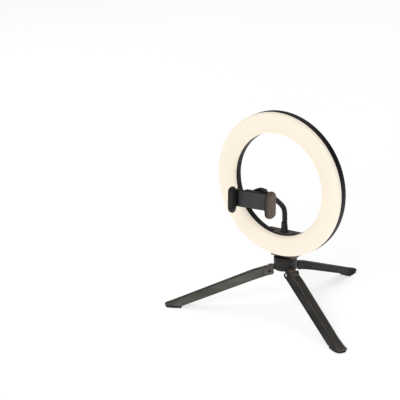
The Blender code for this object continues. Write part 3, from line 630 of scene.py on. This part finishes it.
def build_ring():
    add("opal_front", turned_back(diffuser_outline(), 240), RING,
        "opal", "ring_head", "opal", "diffuser", angle=50)

    housing = make("ring_housing", turned_back(housing_outline(), 240), RING)
    circle = 86.0
    # Eight screws, less the one that the block hides
    angles = [pi / 4 * i for i in range(8) if i != 6]
    spots = [(circle * cos(angle), circle * sin(angle)) for angle in angles]
    carve(housing, joined(*(rod(2.7, RING_BACK - 1.0, RING_BACK + 1, (x, 0, z), "Y") for x, z in spots)))
    settle(housing, "housing", "ring_head", "housing", "rear_housing")
    for i, (x, z) in enumerate(spots):
        add_screw(f"housing_screw_{i + 1}", RING, x, RING_BACK - 0.15, z, 2.3, 0.8, (1.3, 0.55))


# ---- saddle block

def block_back_outline():
    slope = (BLOCK_TOP_HALF - BLOCK_FOOT_HALF) / (BLOCK_TOP - BLOCK_FOOT)
    heel = BLOCK_FOOT_HALF + slope * (BLOCK_HEEL - BLOCK_FOOT)
    return [(-heel, BLOCK_HEEL), (heel, BLOCK_HEEL),
            (BLOCK_TOP_HALF, BLOCK_TOP - 2), (BLOCK_TOP_HALF - 2, BLOCK_TOP),
            (2 - BLOCK_TOP_HALF, BLOCK_TOP), (-BLOCK_TOP_HALF, BLOCK_TOP - 2)]


def build_block():
    ring_z = RING.translation.z / MM
    back = block_back_outline()
    block = make("saddle_block", prism(rounded(back, 1.2), RING_BACK + GAP, BLOCK_BACK), STAND)

    outside = RING_OUTER + GAP
    swing = degrees(asin((BLOCK_FOOT_HALF - 1) / outside))
    shelf = [(BLOCK_FOOT_HALF - 1, BLOCK_FOOT)]
    shelf += arc(outside, 270 + swing, 270 - swing, 24, (0, ring_z))
    shelf += [(1 - BLOCK_FOOT_HALF, BLOCK_FOOT)]
    carve(block, prism(shelf, BLOCK_FRONT, 6.0), "UNION")

    inside = RING_INNER - GAP
    rise = ring_z - BLOCK_TOP + 0.25
    swing = degrees(asin(sqrt(inside**2 - rise**2) / inside))
    tongue = arc(inside, 270 - swing, 270 + swing, 24, (0, ring_z))
    tongue += [(tongue[-1][0], BLOCK_TOP), (tongue[0][0], BLOCK_TOP)]
    carve(block, prism(tongue, BLOCK_FRONT, 4.0), "UNION")
    carve(block, rod(4.9, BLOCK_FOOT - 1, BLOCK_FOOT + 4.6))
    soften(block, 0.5, 2, 50)
    settle(block, "block", "ring_head", "housing", "mount_block")

    plate = [(a * 0.985, BLOCK_HEEL + 0.5 + (b - BLOCK_HEEL) * 0.97) for a, b in back]
    cover = make("block_back_cover", prism(rounded(plate, 2.0), BLOCK_BACK + GAP, COVER_BACK), STAND)
    wells = [rod(1.95, BLOCK_BACK, COVER_BACK + 1, (x, 0, z), "Y") for x, z in COVER_SCREWS]
    wells.append(rod(3.4, BLOCK_BACK, COVER_BACK + 1, (0, 0, GLAND_Z), "Y"))
    for side in (-1, 1):
        for k in range(5):
            x = side * (9 + 3 * k)
            slot = rounded([(x - 0.6, 100.5), (x + 0.6, 100.5), (x + 0.6, 89.5), (x - 0.6, 89.5)], 0.6)
            wells.append(prism(slot, COVER_BACK - 0.7, COVER_BACK + 1))
    carve(cover, joined(*wells))
    soften(cover, 0.3, 2, 60)
    settle(cover, "satin", "ring_head", "satin_black", "block_cover")

    for i, (x, z) in enumerate(COVER_SCREWS):
        add_screw(f"cover_screw_head_{i + 1}", STAND, x, COVER_BACK - 0.1, z, 1.7, 0.9, (1.0, 0.5),
                  f"cover_screw_{i + 1}")
    build_gland()
    build_ferrule()


def build_gland():
    """Cord gland of the block's cover: a flange and a ribbed cone."""
    gland = [(0, 8.0), (3.1, 8.0), (3.1, 10.5), (4.3, 10.5)]
    gland += arc(0.4, 0, 90, 3, (4.0, 11.3))
    for rib in range(4):
        low = 12.0 + rib
        wide = 3.0 - rib * 0.15
        gland += [(wide, low), (wide, low + 0.5), (wide - 0.45, low + 0.6), (wide - 0.45, low + 0.9)]
    gland += [(2.3, 16.1), (2.1, 16.5), (1.7, 16.5), (1.6, 16.3), (1.6, 9.5), (0, 9.5)]
    add("cord_gland", moved(turned(gland, 48), (0, 0, GLAND_Z), "Y"), STAND,
        "rubber", "ring_head", "rubber", "cable_gland")


def build_ferrule():
    """Turned socket at the foot of the neck."""
    ferrule = [(0, BLOCK_TOP + GAP), (5.5, BLOCK_TOP + GAP)]
    ferrule += arc(0.4, -45, 60, 4, (5.35, BLOCK_TOP + 1.0))
    ferrule += [(4.9, BLOCK_TOP + 1.7), (4.7, BLOCK_TOP + 2.2), (4.6, 118.0), (4.35, 118.2), (4.35, 118.7)]
    ferrule += [(4.55, 118.9), (4.1, 124.6), (3.9, FERRULE_TOP - 0.3), (3.6, FERRULE_TOP), (0, FERRULE_TOP)]
    add("neck_socket", turned(ferrule, 64), STAND, "satin", "ring_head", "satin_black", "neck_ferrule")


# ---- hub

# Lug that each leg hangs on: round about the pin, and rounded in plan to clear the leg's mouth
LUG_RADIUS = 6.2
LUG_HALF = 4.7
LUG_NOSE = 1.2             # middle of the rounding in plan, outwards from the pin


def build_hub():
    fillet = 1.0
    outline = [(9.3, 62.0), (6.0, 62.0), (6.0, HUB_BOTTOM)]
    outline += arc(fillet, -90, 0, 6, (HUB_RADIUS - fillet, HUB_BOTTOM + fillet))
    outline += [(HUB_RADIUS, 64.6), (HUB_RADIUS - 0.3, 64.9), (HUB_RADIUS - 0.3, 65.3), (HUB_RADIUS, 65.6)]
    outline += [(HUB_RADIUS, HUB_SPLIT - 0.3), (HUB_RADIUS - 0.3, HUB_SPLIT), (9.3, HUB_SPLIT)]
    add("hub_shell", turned(outline, 128), STAND, "satin", "tripod", "satin_black", "hub_body")

    side = arc(LUG_RADIUS - 1.0, -75, -35, 8) + arc(LUG_RADIUS, -20, 90, 18)
    root = PIN_REACH - HUB_RADIUS + 0.4
    side += [(-root, LUG_RADIUS), (-root, HUB_BOTTOM + 0.9 - PIN_Z), (-root + 1.0, HUB_BOTTOM - PIN_Z)]
    side.append((-3.5, -4.5))
    plan = [(-12.0, LUG_HALF), (-12.0, -LUG_HALF)] + arc(LUG_HALF, -90, 90, 16, (LUG_NOSE, 0))
    for leg, place in LEGS.items():
        lug = make("hub_lug_" + leg, prism(side, -6.0, 6.0), place)
        carve(lug, prism(plan, -14.0, 9.0, "Z"), "INTERSECT")
        carve(lug, rod(PIN_RADIUS + GAP, -6, 6, axis="Y"))
        soften(lug, 0.5, 3, 50)
        settle(lug, "lug", "tripod", "satin_black")

    low = HUB_SPLIT + GAP
    collar = [(4.7, low), (HUB_RADIUS - 0.3, low), (HUB_RADIUS, low + 0.3), (HUB_RADIUS, HUB_TOP - 1.0)]
    collar += arc(1.0, 0, 90, 6, (HUB_RADIUS - 1.0, HUB_TOP - 1.0))
    collar += [(13.2, HUB_TOP), (12.9, HUB_TOP - 0.3), (6.4, HUB_TOP - 0.3), (6.1, HUB_TOP)]
    collar += [(5.2, HUB_TOP), (4.7, HUB_TOP - 0.5)]
    add("hub_top_ring", turned(collar, 128), STAND, "satin", "tripod", "satin_black", "hub_collar")

    plug = [(0, HUB_BOTTOM + 0.9), (2.0, HUB_BOTTOM + 0.9), (2.6, HUB_BOTTOM + GAP), (5.4, HUB_BOTTOM + GAP)]
    plug += [(5.7, HUB_BOTTOM + 0.6), (5.7, 60.6), (0, 60.6)]
    add("hub_bottom_plug", turned(plug, 64), STAND, "housing", "tripod", "housing", "hub_plug")


# ---- legs

# A leg's reach from the stand's axis: its root, where its side panels start and end, where its tip's
# rounding starts, and its tip
LEG_ROOT = 17.2
PANEL_START = 30.0
PANEL_END = 150.0
TIP_START = 168.2
LEG_TIP = 171.6
LEG_WALL = 1.7
PANEL_DEPTH = 0.35
FOOT_PAD = 3.0
# Along a leg: reach, then the height of its top or bottom edge, or half its width there
LEG_TOP = [(LEG_ROOT, 64.0), (28.0, 61.0), (46.0, 55.6), (146.5, 14.1), (166.0, 6.0), (LEG_TIP, 4.4)]
LEG_BOTTOM = [(LEG_ROOT, 53.6), (28.0, 50.2), (46.0, 43.6), (146.5, 3.3), (LEG_TIP, 3.3)]
LEG_TOP_HALF = [(LEG_ROOT, 5.6), (46.0, 5.6), (146.5, 5.2), (166.0, 4.8), (LEG_TIP, 4.0)]
LEG_BOTTOM_HALF = [(LEG_ROOT, 10.2), (46.0, 10.5), (146.5, 9.4), (166.0, 8.8), (LEG_TIP, 6.8)]
# Which end of each hinge pin has its bright head, and each leg's copy of the leg coat, with the painted
# light and shade of where it stands
PIN_HEADS = {"front_right": -1, "front_left": -1, "rear": 1}
LEG_PAINTED_LIGHT = {"front_right": "leg_painted_glow", "front_left": "leg", "rear": "leg_painted_shade"}


def clipped(value):
    return max(0.0, min(1.0, value))


def along(table, x):
    """Value at x, on straight lines between a table's points."""
    if x <= table[0][0]:
        (a, b), (c, d) = table[0], table[1]
    elif x >= table[-1][0]:
        (a, b), (c, d) = table[-2], table[-1]
    else:
        (a, b), (c, d) = next(pair for pair in zip(table, table[1:]) if pair[1][0] >= x)
    return b + (d - b) * (x - a) / (c - a)


def eased(table, x):
    """The same with its corners rounded, as the mean over 5 mm on each side."""
    return sum(along(table, x + 5.0 * k / 4) for k in range(-4, 5)) / 9


def leg_section(reach, wall=0.0, drop=0.0, panel=0.0, tip=1.0):
    """Section across a leg. With a wall it is the hollow inside, let down by drop."""
    low = along(LEG_BOTTOM, reach) if reach > 140 else eased(LEG_BOTTOM, reach)
    high = eased(LEG_TOP, reach) - wall
    top_half = (eased(LEG_TOP_HALF, reach) - wall * 0.85) * tip
    bottom_half = (eased(LEG_BOTTOM_HALF, reach) - wall) * tip
    flare = (bottom_half - top_half) / max(high - low, 1.0) * drop
    low -= drop
    lean = 0.0
    crown = 0.8
    if not wall:
        lean = -2.0 * clipped((24.0 - reach) / 7.0)
        low += 1.6 * max(0.0, 1 - (reach - LEG_ROOT) / 1.8)**2
        crown = min(1.4, (high - low) * 0.3)
    side = []
    steps = 10
    for k in range(steps + 1):
        t = k / steps
        width = (bottom_half + flare) + (top_half - bottom_half - flare) * t
        inset = panel * clipped((t - 0.12) / 0.05) * clipped((0.84 - t) / 0.05)
        height = low + (high - low) * t
        if height < high - crown - 0.01:
            side.append((width - inset, height))
    for k in range(5):
        a = radians(90 * k / 4)
        side.append((top_half - crown * 0.9 * (1 - cos(a)), high - crown * (1 - sin(a))))
    outline = [(-y, z) for y, z in side] + list(reversed(side))
    root_lean = [lean * (1 - (z - low) / (high - low)) for y, z in outline]
    return [(reach - PIN_REACH + back, y, z - PIN_Z) for (y, z), back in zip(outline, root_lean)]


def even_loft(sections):
    """Solid through sections, each brought to the smallest number of points among them."""
    size = min(len(section) for section in sections)
    return loft([even_section(section, size) for section in sections])


def build_leg(name, place):
    body = "leg_" + name
    reaches = [LEG_ROOT, 17.6, 18.2, 19, 20, 22, 24, 27, PANEL_START, 30.8]
    reaches += [33 + 3 * k for k in range(8)] + [58 + 8 * k for k in range(12)]
    reaches += [149.5, 152, 156, 160, 163, 166]
    reaches += [TIP_START, 169.2, 170.1, 170.9, 171.4, LEG_TIP]
    sections = []
    for reach in reaches:
        panel = PANEL_DEPTH * clipped((reach - PANEL_START) / 0.8) * clipped((PANEL_END - reach) / 0.8)
        tip = sqrt(1 - ((reach - TIP_START) / 4.2)**2) if reach > TIP_START else 1.0
        sections.append(leg_section(reach, panel=panel, tip=tip))
    leg = make("leg_shell_" + name, even_loft(sections), place)
    inside = [12, 17, 22, 27, 32, 38, 44, 50, 56] + [56 + 9 * k for k in range(1, 10)] + [141.5, 143]
    carve(leg, even_loft([leg_section(reach, LEG_WALL, 3.0) for reach in inside]))
    mouth_half = 5.0
    mouth = [(-12.0, mouth_half), (-12.0, -mouth_half)] + arc(mouth_half, -90, 90, 16, (2.0, 0))
    carve(leg, prism(mouth, -1.4, 9.0, "Z"))
    for low in (-9.0, 7.6):
        carve(leg, rod(3.3, low, low + 1.4, axis="Y"), "UNION")
    carve(leg, rod(PIN_RADIUS + GAP, -14, 14, axis="Y"))
    store_strip(leg)
    settle(planted(leg), LEG_PAINTED_LIGHT[name], body, "leg", "leg_" + name, angle=28)

    sections = []
    for k in range(19):
        reach = 28.9 + 0.4 * k
        half = 4.3 * sqrt(max(0.02, 1 - (max(0.0, reach - 31.1) / 5.05)**2))
        high = eased(LEG_TOP, reach) - PIN_Z
        section = [(-half, -0.6), (half, -0.6), (half, 0.05), (half * 0.8, 0.3),
                   (-half * 0.8, 0.3), (-half, 0.05)]
        sections.append([(reach - PIN_REACH, y, high + z) for y, z in section])
    # Root cap in the lug finish, brown as a painted reflection of the ring's light
    add("root_cap_" + name, loft(sections), place, "lug", body, "satin_black")

    head = PIN_HEADS[name]
    pin = [(0, 9.9), (1.2, 9.85), (2.0, 9.5), (2.3, 9.15), (2.3, 9.03), (PIN_RADIUS, 9.03)]
    pin += [(PIN_RADIUS, -7.9), (0, -7.9)]
    add("hinge_pin_" + name, turned_back([(r, head * y) for r, y in pin], 48), place,
        "chrome", body, "steel", "leg_pin_" + name)
    plug = [(0, -8.0), (PIN_RADIUS, -8.0), (PIN_RADIUS, -8.8), (PIN_RADIUS - 0.3, -9.0)]
    plug += [(0.5, -9.0), (0, -8.8)]
    add("pin_plug_" + name, turned_back([(r, head * y) for r, y in plug], 48), place,
        "housing", body, "housing")
    build_foot(name, place)


def store_strip(leg):
    """Store how near each point is to the leg's top edge, the mask of its painted edge highlight and its
    painted shade on top: 1 on it, 0 from 1.6 mm down.
    """
    strip = []
    for vert in leg.data.vertices:
        high = eased(LEG_TOP, vert.co.x / MM + PIN_REACH) - PIN_Z
        strip.append(clipped(1 - (high - vert.co.z / MM) / 1.6))
    leg.data.attributes.new("strip", "FLOAT", "POINT").data.foreach_set("value", strip)


def build_foot(name, place):
    """Grooved rubber pad under a leg's tip."""
    heel = 147.5 - PIN_REACH
    toe = LEG_TIP - PIN_REACH
    outline = [(heel, -8.6), (heel + 8, -8.9), (toe - 7, -8.0), (toe - 2.4, -5.6), (toe - 0.8, -2.4)]
    outline += [(x, -y) for x, y in reversed(outline)]
    foot = make("foot_pad_" + name, prism(rounded(outline, 1.5), -PIN_Z, FOOT_PAD - PIN_Z, "Z"), place)
    grooves = []
    for k in range(5):
        x = heel + 3.2 + 3.6 * k
        grooves.append(box((x, -12, -PIN_Z - 1), (x + 1.1, 12, 0.6 - PIN_Z)))
    carve(foot, joined(*grooves))
    soften(foot, 0.35, 2, 50)
    settle(planted(foot), "rubber", "leg_" + name, "rubber", "foot_" + name)


def even_section(section, size):
    """Bring a section to a set number of points by walking its outline at even steps."""
    points = [Vector(p) for p in section]
    lengths = [0.0]
    for a, b in zip(points, points[1:]):
        lengths.append(lengths[-1] + (b - a).length)
    result = []
    for i in range(size):
        target = lengths[-1] * i / (size - 1)
        k = min(len(points) - 2, max(j for j in range(len(points)) if lengths[j] <= target + 1e-9))
        span = lengths[k + 1] - lengths[k]
        t = (target - lengths[k]) / span if span else 0
        result.append(points[k].lerp(points[k + 1], t))
    return result


# ---- ball joint of the head

def seat_outline(seat, low, high, outer):
    """Ring with a ball-shaped bore, in section."""
    start = degrees(atan2(sqrt(seat**2 - low**2), -low))
    end = degrees(atan2(sqrt(seat**2 - high**2), -high))
    outline = [(outer, low + 0.4), (outer - 0.4, low)]
    outline += ball_outline(seat, start, end, 20)
    return outline + [(outer - 0.4, high), (outer, high - 0.4)]


def build_ball_joint():
    """Cup in the hub, and the stud that carries the ring on a ball and a threaded shank."""
    centre = Matrix.Translation(joint("head_pan")["pos_m"])
    ball_z = centre.translation.z / MM
    add("head_ball_cup", turned(seat_outline(6.8, 63.5 - ball_z, 72.8 - ball_z, 9.0), 64), centre,
        "nylon", "ball_cup", "nylon", "ball_cup")

    shank = 3.05
    top = 80.9 - ball_z
    ball = 6.5
    outline = ball_outline(ball, 0, degrees(pi - asin(shank / ball)), 24)
    height = HUB_TOP + 0.9 - ball_z
    while height < top - 0.8:
        outline += [(shank, height), (shank - 0.28, height + 0.22), (shank - 0.28, height + 0.30)]
        outline.append((shank, height + 0.52))
        height += 0.62
    outline += [(shank - 0.5, top), (0, top)]
    add("head_ball_stud", turned(outline, 64), centre, "steel", "ring_head", "steel", "ball_stud")


# ---- flexible neck

def route_curve(points, steps):
    """Smooth curve through points: Catmull-Rom, with the ends repeated."""
    points = [Vector(p) for p in points]
    padded = [points[0] * 2 - points[1]] + points + [points[-1] * 2 - points[-2]]
    curve = []
    for i in range(1, len(padded) - 2):
        a, b, c, d = padded[i - 1:i + 3]
        for k in range(steps):
            t = k / steps
            curve.append(0.5 * ((2 * b) + (c - a) * t + (2 * a - 5 * b + 4 * c - d) * t**2
                                + (3 * b - a - 3 * c + d) * t**3))
    curve.append(points[-1])
    return curve


def tube(points, radius, segments):
    """Round tube along points."""
    sections = []
    for i, centre in enumerate(points):
        ahead = points[min(i + 1, len(points) - 1)]
        behind = points[max(i - 1, 0)]
        tangent = (ahead - behind).normalized()
        side = Vector((1, 0, 0))
        side = (side - tangent * side.dot(tangent)).normalized()
        across = tangent.cross(side)
        turns = [2 * pi * k / segments for k in range(segments)]
        sections.append([centre + (side * cos(a) + across * sin(a)) * radius for a in turns])
    return loft(sections)


def build_neck():
    """Three sleeves, each a tube along a stretch of the neck's route, which hides the CAD link that it
    stands for. A sleeve's start, end and bend are points of the route."""
    clamp = STAND.inverted() @ CLAMP
    fitting = clamp @ Vector((0, FITTING_END * MM, 0)) / MM
    back = clamp.to_3x3() @ Vector((0, 1, 0))
    route = NECK_ROUTE + [tuple(fitting + back * reach) for reach in (NECK_LEAD, NECK_LEAD / 2, GAP)]
    steps = 12
    curve = route_curve(route, steps)
    sleeves = [
        ("neck_sleeve_low", "ring_head", "neck_lower", 1.0, 3.0, 2),
        ("neck_sleeve_middle", "neck_lower", "neck_middle", 3.0, 5.5, 4),
        ("neck_sleeve_high", "neck_middle", "neck_upper", 5.5, None, 7),
    ]
    for name, near, far, start, end, bend in sleeves:
        last = int(end * steps) if end else len(curve) - 1
        run = curve[int(start * steps):last + 1]
        sleeve = make(name, tube(run, NECK_RADIUS, 48), STAND)
        smooth(sleeve, angle=60)
        sleeve.data.materials.append(MATERIALS["sleeve"])
        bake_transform(sleeve)
        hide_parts(far)


# ---- phone clamp

def build_clamp_mount():
    stem = degrees(pi - asin(STEM_RADIUS / CLAMP_BALL_RADIUS))
    ball = ball_outline(CLAMP_BALL_RADIUS, 0, stem, 24)
    ball += [(STEM_RADIUS, 11.0), (0, 11.0)]
    add("clamp_ball", turned_back(ball, 64), CLAMP, "chrome", "neck_upper", "steel", "neck_ball")
    fitting = [(0, 11.2), (3.9, 11.2), (4.4, 11.7), (4.4, 12.8), (4.1, 13.0), (4.1, 13.5), (4.4, 13.7)]
    fitting += [(4.4, 18.4), (4.2, 19.2), (3.8, FITTING_END), (0, FITTING_END)]
    add("neck_end_fitting", turned_back(fitting, 64), CLAMP, "satin", "neck_upper", "satin_black")

    add("clamp_ball_seat", turned_back(seat_outline(5.8, -5.2, 3.2, 8.6), 64), CLAMP,
        "nylon", "collet", "nylon", "ball_collet")

    drops = [(0.9, -4.6), (0.3, -4.3), (0, -3.8)] + [(0, -3.4 + 0.5 * k) for k in range(16)]
    drops += [(0.25, 4.6), (1.1, 5.7), (1.8, 6.1), (2.4, 6.2)]
    nut = [(11.5, -4.6)] + [(NUT_RADIUS - drop, height) for drop, height in drops]
    nut += [(8.4, 6.2), (8.2, 5.9), (7.2, 5.9), (7.0, 6.2), (6.6, 5.9), (6.6, 3.7), (11.5, 3.7)]
    bm = turned(nut, 288)
    ribs = 36
    for vert in bm.verts:
        radius = hypot(vert.co.x, vert.co.y)
        if radius > NUT_RADIUS - 0.4 and -3.6 < vert.co.z < 4.3:
            wave = 0.5 + 0.5 * cos(ribs * atan2(vert.co.y, vert.co.x))
            depth = 0.55 * (1 - wave**0.6)
            vert.co.x *= 1 - depth / radius
            vert.co.y *= 1 - depth / radius
    add("ball_lock_nut", moved(bm, axis="Y"), CLAMP, "housing", "lock_nut", "housing", "lock_nut", angle=30)


def build_clamp_body():
    outline = rounded(rectangle(BODY_HALF, BODY_HALF_HEIGHT), 2.2)
    body = make("clamp_housing", prism(outline, BODY_FRONT, BODY_BACK), CLAMP)
    hump = rounded([(7.5, 9.0), (14.8, 9.0), (14.8, 15.5), (7.5, 15.5)], 0.9)
    carve(body, prism(hump, BODY_FRONT + 0.5, BODY_BACK - 1), "UNION")
    rail = BODY_HALF - 0.4
    for side in (-1, 1):
        low, high = sorted((side * 8.4, side * BODY_HALF_HEIGHT))
        carve(body, box((-rail, PLATE_BACK + GAP, low), (rail, BODY_FRONT + 1, high)), "UNION")
    soften(body, 0.6, 3, 50)
    socket = [(0, BODY_BACK - 1), (11.2, BODY_BACK - 1), (11.2, 3.0), (10.8, 3.4), (0, 3.4)]
    carve(body, turned_back(socket, 96), "UNION")
    carve(body, rod(8.9, -5.8, 5, axis="Y", segments=96))
    for z in (-ROD_Z, ROD_Z):
        carve(body, rod(ROD_RADIUS + GAP, -17.6, BODY_HALF + 1, (0, ROD_Y, z), "X"))
    carve(body, box((-15, -11.2, -3.2), (BODY_HALF + 1, -6.4, 3.2)))
    settle(body, "body", "clamp", "housing", "clamp_body")

    outline = rounded(rectangle(PLATE_HALF, PLATE_HALF_HEIGHT), 0.8)
    plate = make("clamp_backplate", prism(outline, PLATE_FRONT, PLATE_BACK), CLAMP)
    soften(plate, 0.35, 3, 50)
    settle(plate, "satin", "clamp", "satin_black", "clamp_plate")

    outline = rounded(rectangle(22.6, 10.6), 1.0)
    pad = make("phone_rest_pad", prism(outline, -17.2, PLATE_FRONT - 0.05), CLAMP)
    soften(pad, 0.2, 2, 50)
    rivet_place = (18.5, 0, 6.5)
    carve(pad, rod(0.75, -18, -17.0, rivet_place, "Y", 24))
    settle(pad, "plate", "clamp", "rubber", "plate_pad")
    rivet = [(0, -17.15), (0.3, -17.1), (0.55, -16.95), (0.6, -16.8), (0, -16.8)]
    add("pad_rivet", moved(turned(rivet, 24), rivet_place, "Y"), CLAMP, "chrome", "clamp", "steel")

    low = -14.0
    high = JAW_INNER - 1.0
    per_turn = 24
    steps = 7 * per_turn
    coil = []
    for i in range(steps + 1):
        a = 2 * pi * i / per_turn
        coil.append(Vector((low + (high - low) * i / steps, -8.8 + 1.9 * cos(a), 1.9 * sin(a))))
    add("jaw_spring", tube(coil, 0.35, 10), CLAMP, "steel", "clamp", "steel", "clamp_spring", angle=60)


def jaw_bar(side, back, half_height, radii):
    """Upright bar with rounded corners and domed ends. The radii go from the inner front corner round
    to the inner back one."""
    outline = []
    for k, radius in enumerate(radii):
        x = JAW_OUTER - radius if k in (1, 2) else JAW_INNER + radius
        y = JAW_FRONT + radius if k < 2 else back - radius
        outline += arc(radius, 180 + 90 * k, 270 + 90 * k, 10, (x, y))
    centre = Vector(((JAW_OUTER + JAW_INNER) / 2, (JAW_FRONT + back) / 2))
    sections = []
    for end in (-1, 1):
        for rise in (-88, -84, -78, -70, -60, -50, -40, -30, -20, -10, 0)[::-end]:
            height = JAW_Z + end * (half_height - JAW_DOME - JAW_DOME * sin(radians(rise)))
            section = [centre + (Vector(point) - centre) * cos(radians(rise)) for point in outline]
            sections.append([(side * x, y, height) for x, y in section])
    return loft(sections)


def jaw_grip(side, front, back):
    """Rubber pad on a jaw: upright, with round ends."""
    half_width = (back - front) / 2
    y = (back + front) / 2
    straight = GRIP_HALF_HEIGHT - half_width
    outline = arc(half_width, 0, 180, 16, (y, JAW_Z + straight))
    outline += arc(half_width, 180, 360, 16, (y, JAW_Z - straight))
    low, high = sorted((side * (JAW_INNER - GAP), side * GRIP_FACE))
    return prism(outline, low, high, "X")


def build_jaws():
    for name, (body, side, back, half_height, radii, (outer, front, foot_half)) in JAWS.items():
        jaw = make(name + "_bar", jaw_bar(side, back, half_height, radii), CLAMP)
        near, far = sorted((side * JAW_INNER, side * outer))
        foot = rounded([(near, -foot_half), (far, -foot_half), (far, foot_half), (near, foot_half)], 0.8)
        carve(jaw, prism(foot, front, JAW_FOOT_BACK), "UNION")
        if side < 0:
            carve(jaw, box((-26, -14.4, -8), (-14, -12.9, 8)), "UNION")
        settle(jaw, "jaw", body, "satin_black", name)

        pad = make(name + "_grip", jaw_grip(side, JAW_FRONT + 1.5, back - max(radii[3], 4.7)), CLAMP)
        soften(pad, 0.25, 3, 50)
        grooves = []
        for k in range(-5, 6):
            z = JAW_Z + 1.75 * k
            x = side * GRIP_FACE
            grooves.append(box((x - 0.3, JAW_FRONT, z - 0.25), (x + 0.3, back, z + 0.25)))
        carve(pad, joined(*grooves))
        settle(pad, "rubber", body, "rubber", name + "_pad", angle=50)

    outline = rounded([(-13.7, -8), (JAW_INNER - GAP, -8), (JAW_INNER - GAP, 8), (-13.7, 8)], 1.0)
    slider = make("jaw_slide_plate", prism(outline, -14.5, -12.9), CLAMP)
    slot = rounded([(-9.0, -1.6), (15.0, -1.6), (15.0, 1.6), (-9.0, 1.6)], 1.6)
    carve(slider, prism(slot, -15, -12))
    soften(slider, 0.2, 2, 50)
    settle(slider, "steel", "moving_jaw", "steel", "jaw_slider")
    profile = [(0, -17), (ROD_RADIUS - 0.4, -17), (ROD_RADIUS, -16.6), (ROD_RADIUS, JAW_INNER - GAP)]
    profile.append((0, JAW_INNER - GAP))
    for name, z in (("lower", -ROD_Z), ("upper", ROD_Z)):
        add("slide_rod_" + name, moved(turned(profile, 32), (0, ROD_Y, z), "X"), CLAMP,
            "chrome", "moving_jaw", "steel", "guide_rod_" + name)


# ---- stage

# Glow of the paper floor, strength of the surroundings, and the lights, each with its place, what it
# faces, its size in metres, its power and its colour
FLOOR_GLOW = 0.685
WORLD_STRENGTH = 0.12
LIGHTS = [
    ("top_softbox", (-1.2, 2.4, 4.0), (-1.0, 2.0, 0), (8.0, 8.0), 115.0, (1.0, 1.0, 1.0)),
    ("key_softbox", (0.80, -2.15, 1.42), (0, 0, 0.12), (0.9, 1.1), 24.0, (1.0, 0.99, 0.97)),
    ("left_softbox", (-2.2, 0.2, 0.9), (0, 0, 0.10), (0.7, 1.6), 4.0, (0.98, 1.0, 0.98)),
]


def build_stage():
    bm = bmesh.new()
    half = 9000.0
    bm.faces.new([bm.verts.new((x, y, 0)) for x, y in rectangle(half, half)])
    floor = make("floor", bm, Matrix.Translation((0, 0, -0.0002)))
    material, tree, shader = nodes_of("floor_paper")
    paper = spread(tree, add_noise(tree, 3, 2))
    tone = mixed(tree, paper, (0.61, 0.61, 0.61), (0.63, 0.63, 0.63))
    tree.links.new(tone, shader.inputs["Base Color"])
    shader.inputs["Roughness"].default_value = 0.9
    shader.inputs["Specular IOR Level"].default_value = 0.1
    shader.inputs["Emission Color"].default_value = (1, 1, 1, 1)
    shader.inputs["Emission Strength"].default_value = FLOOR_GLOW
    floor.data.materials.append(material)

    world = bpy.data.worlds.new("studio")
    world.use_nodes = True
    background = world.node_tree.nodes["Background"]
    background.inputs["Color"].default_value = (1, 1, 1, 1)
    background.inputs["Strength"].default_value = WORLD_STRENGTH
    bpy.context.scene.world = world

    for name, place, target, size, power, colour in LIGHTS:
        lamp = bpy.data.lights.new(name, "AREA")
        lamp.shape = "RECTANGLE"
        lamp.size, lamp.size_y = size
        lamp.energy = power
        lamp.color = colour
        aim = Vector(target) - Vector(place)
        placed(name, lamp, Matrix.LocRotScale(place, aim.to_track_quat("-Z", "Y"), None))


def build_camera():
    sine, cosine = sin(VIEW_AZIMUTH), cos(VIEW_AZIMUTH)
    across = Vector((cosine, sine, 0))
    back = Vector((sine * cos(VIEW_ELEVATION), -cosine * cos(VIEW_ELEVATION), sin(VIEW_ELEVATION)))
    up = back.cross(across)
    aim = across * AIM_SIDE + Vector((0, STAND.translation.y, AIM_HEIGHT))
    x = across * cos(VIEW_ROLL) + up * sin(VIEW_ROLL)
    y = up * cos(VIEW_ROLL) - across * sin(VIEW_ROLL)
    data = bpy.data.cameras.new("camera")
    data.lens = VIEW_LENS
    data.sensor_width = 36.0
    place = Matrix((x, y, back)).transposed().to_4x4()
    place.translation = aim + back * VIEW_DISTANCE
    bpy.context.scene.camera = placed("camera", data, place)


# Finishes of the pieces that stay as the CAD model has them
KEPT = {
    "led_board": "board_white", "led_strip_warm": "led_warm", "led_strip_cool": "led_cool",
    "driver_board": "board_green", "led_connector": "nylon", "thread_insert": "brass",
    "cup_washer": "steel", **{f"plate_screw_{i}": "steel" for i in range(1, 5)},
}

build_ring()
build_block()
build_hub()
for leg_name, leg_place in LEGS.items():
    build_leg(leg_name, leg_place)
build_ball_joint()
build_neck()
build_clamp_mount()
build_clamp_body()
build_jaws()
for node, finish_name in KEPT.items():
    kept = frame["nodes"][node]
    kept.data.materials.clear()
    kept.data.materials.append(MATERIALS[finish_name])
build_stage()
build_camera()
bpy.context.scene.view_settings.view_transform = "Standard"

bpy.context.view_layer.update()
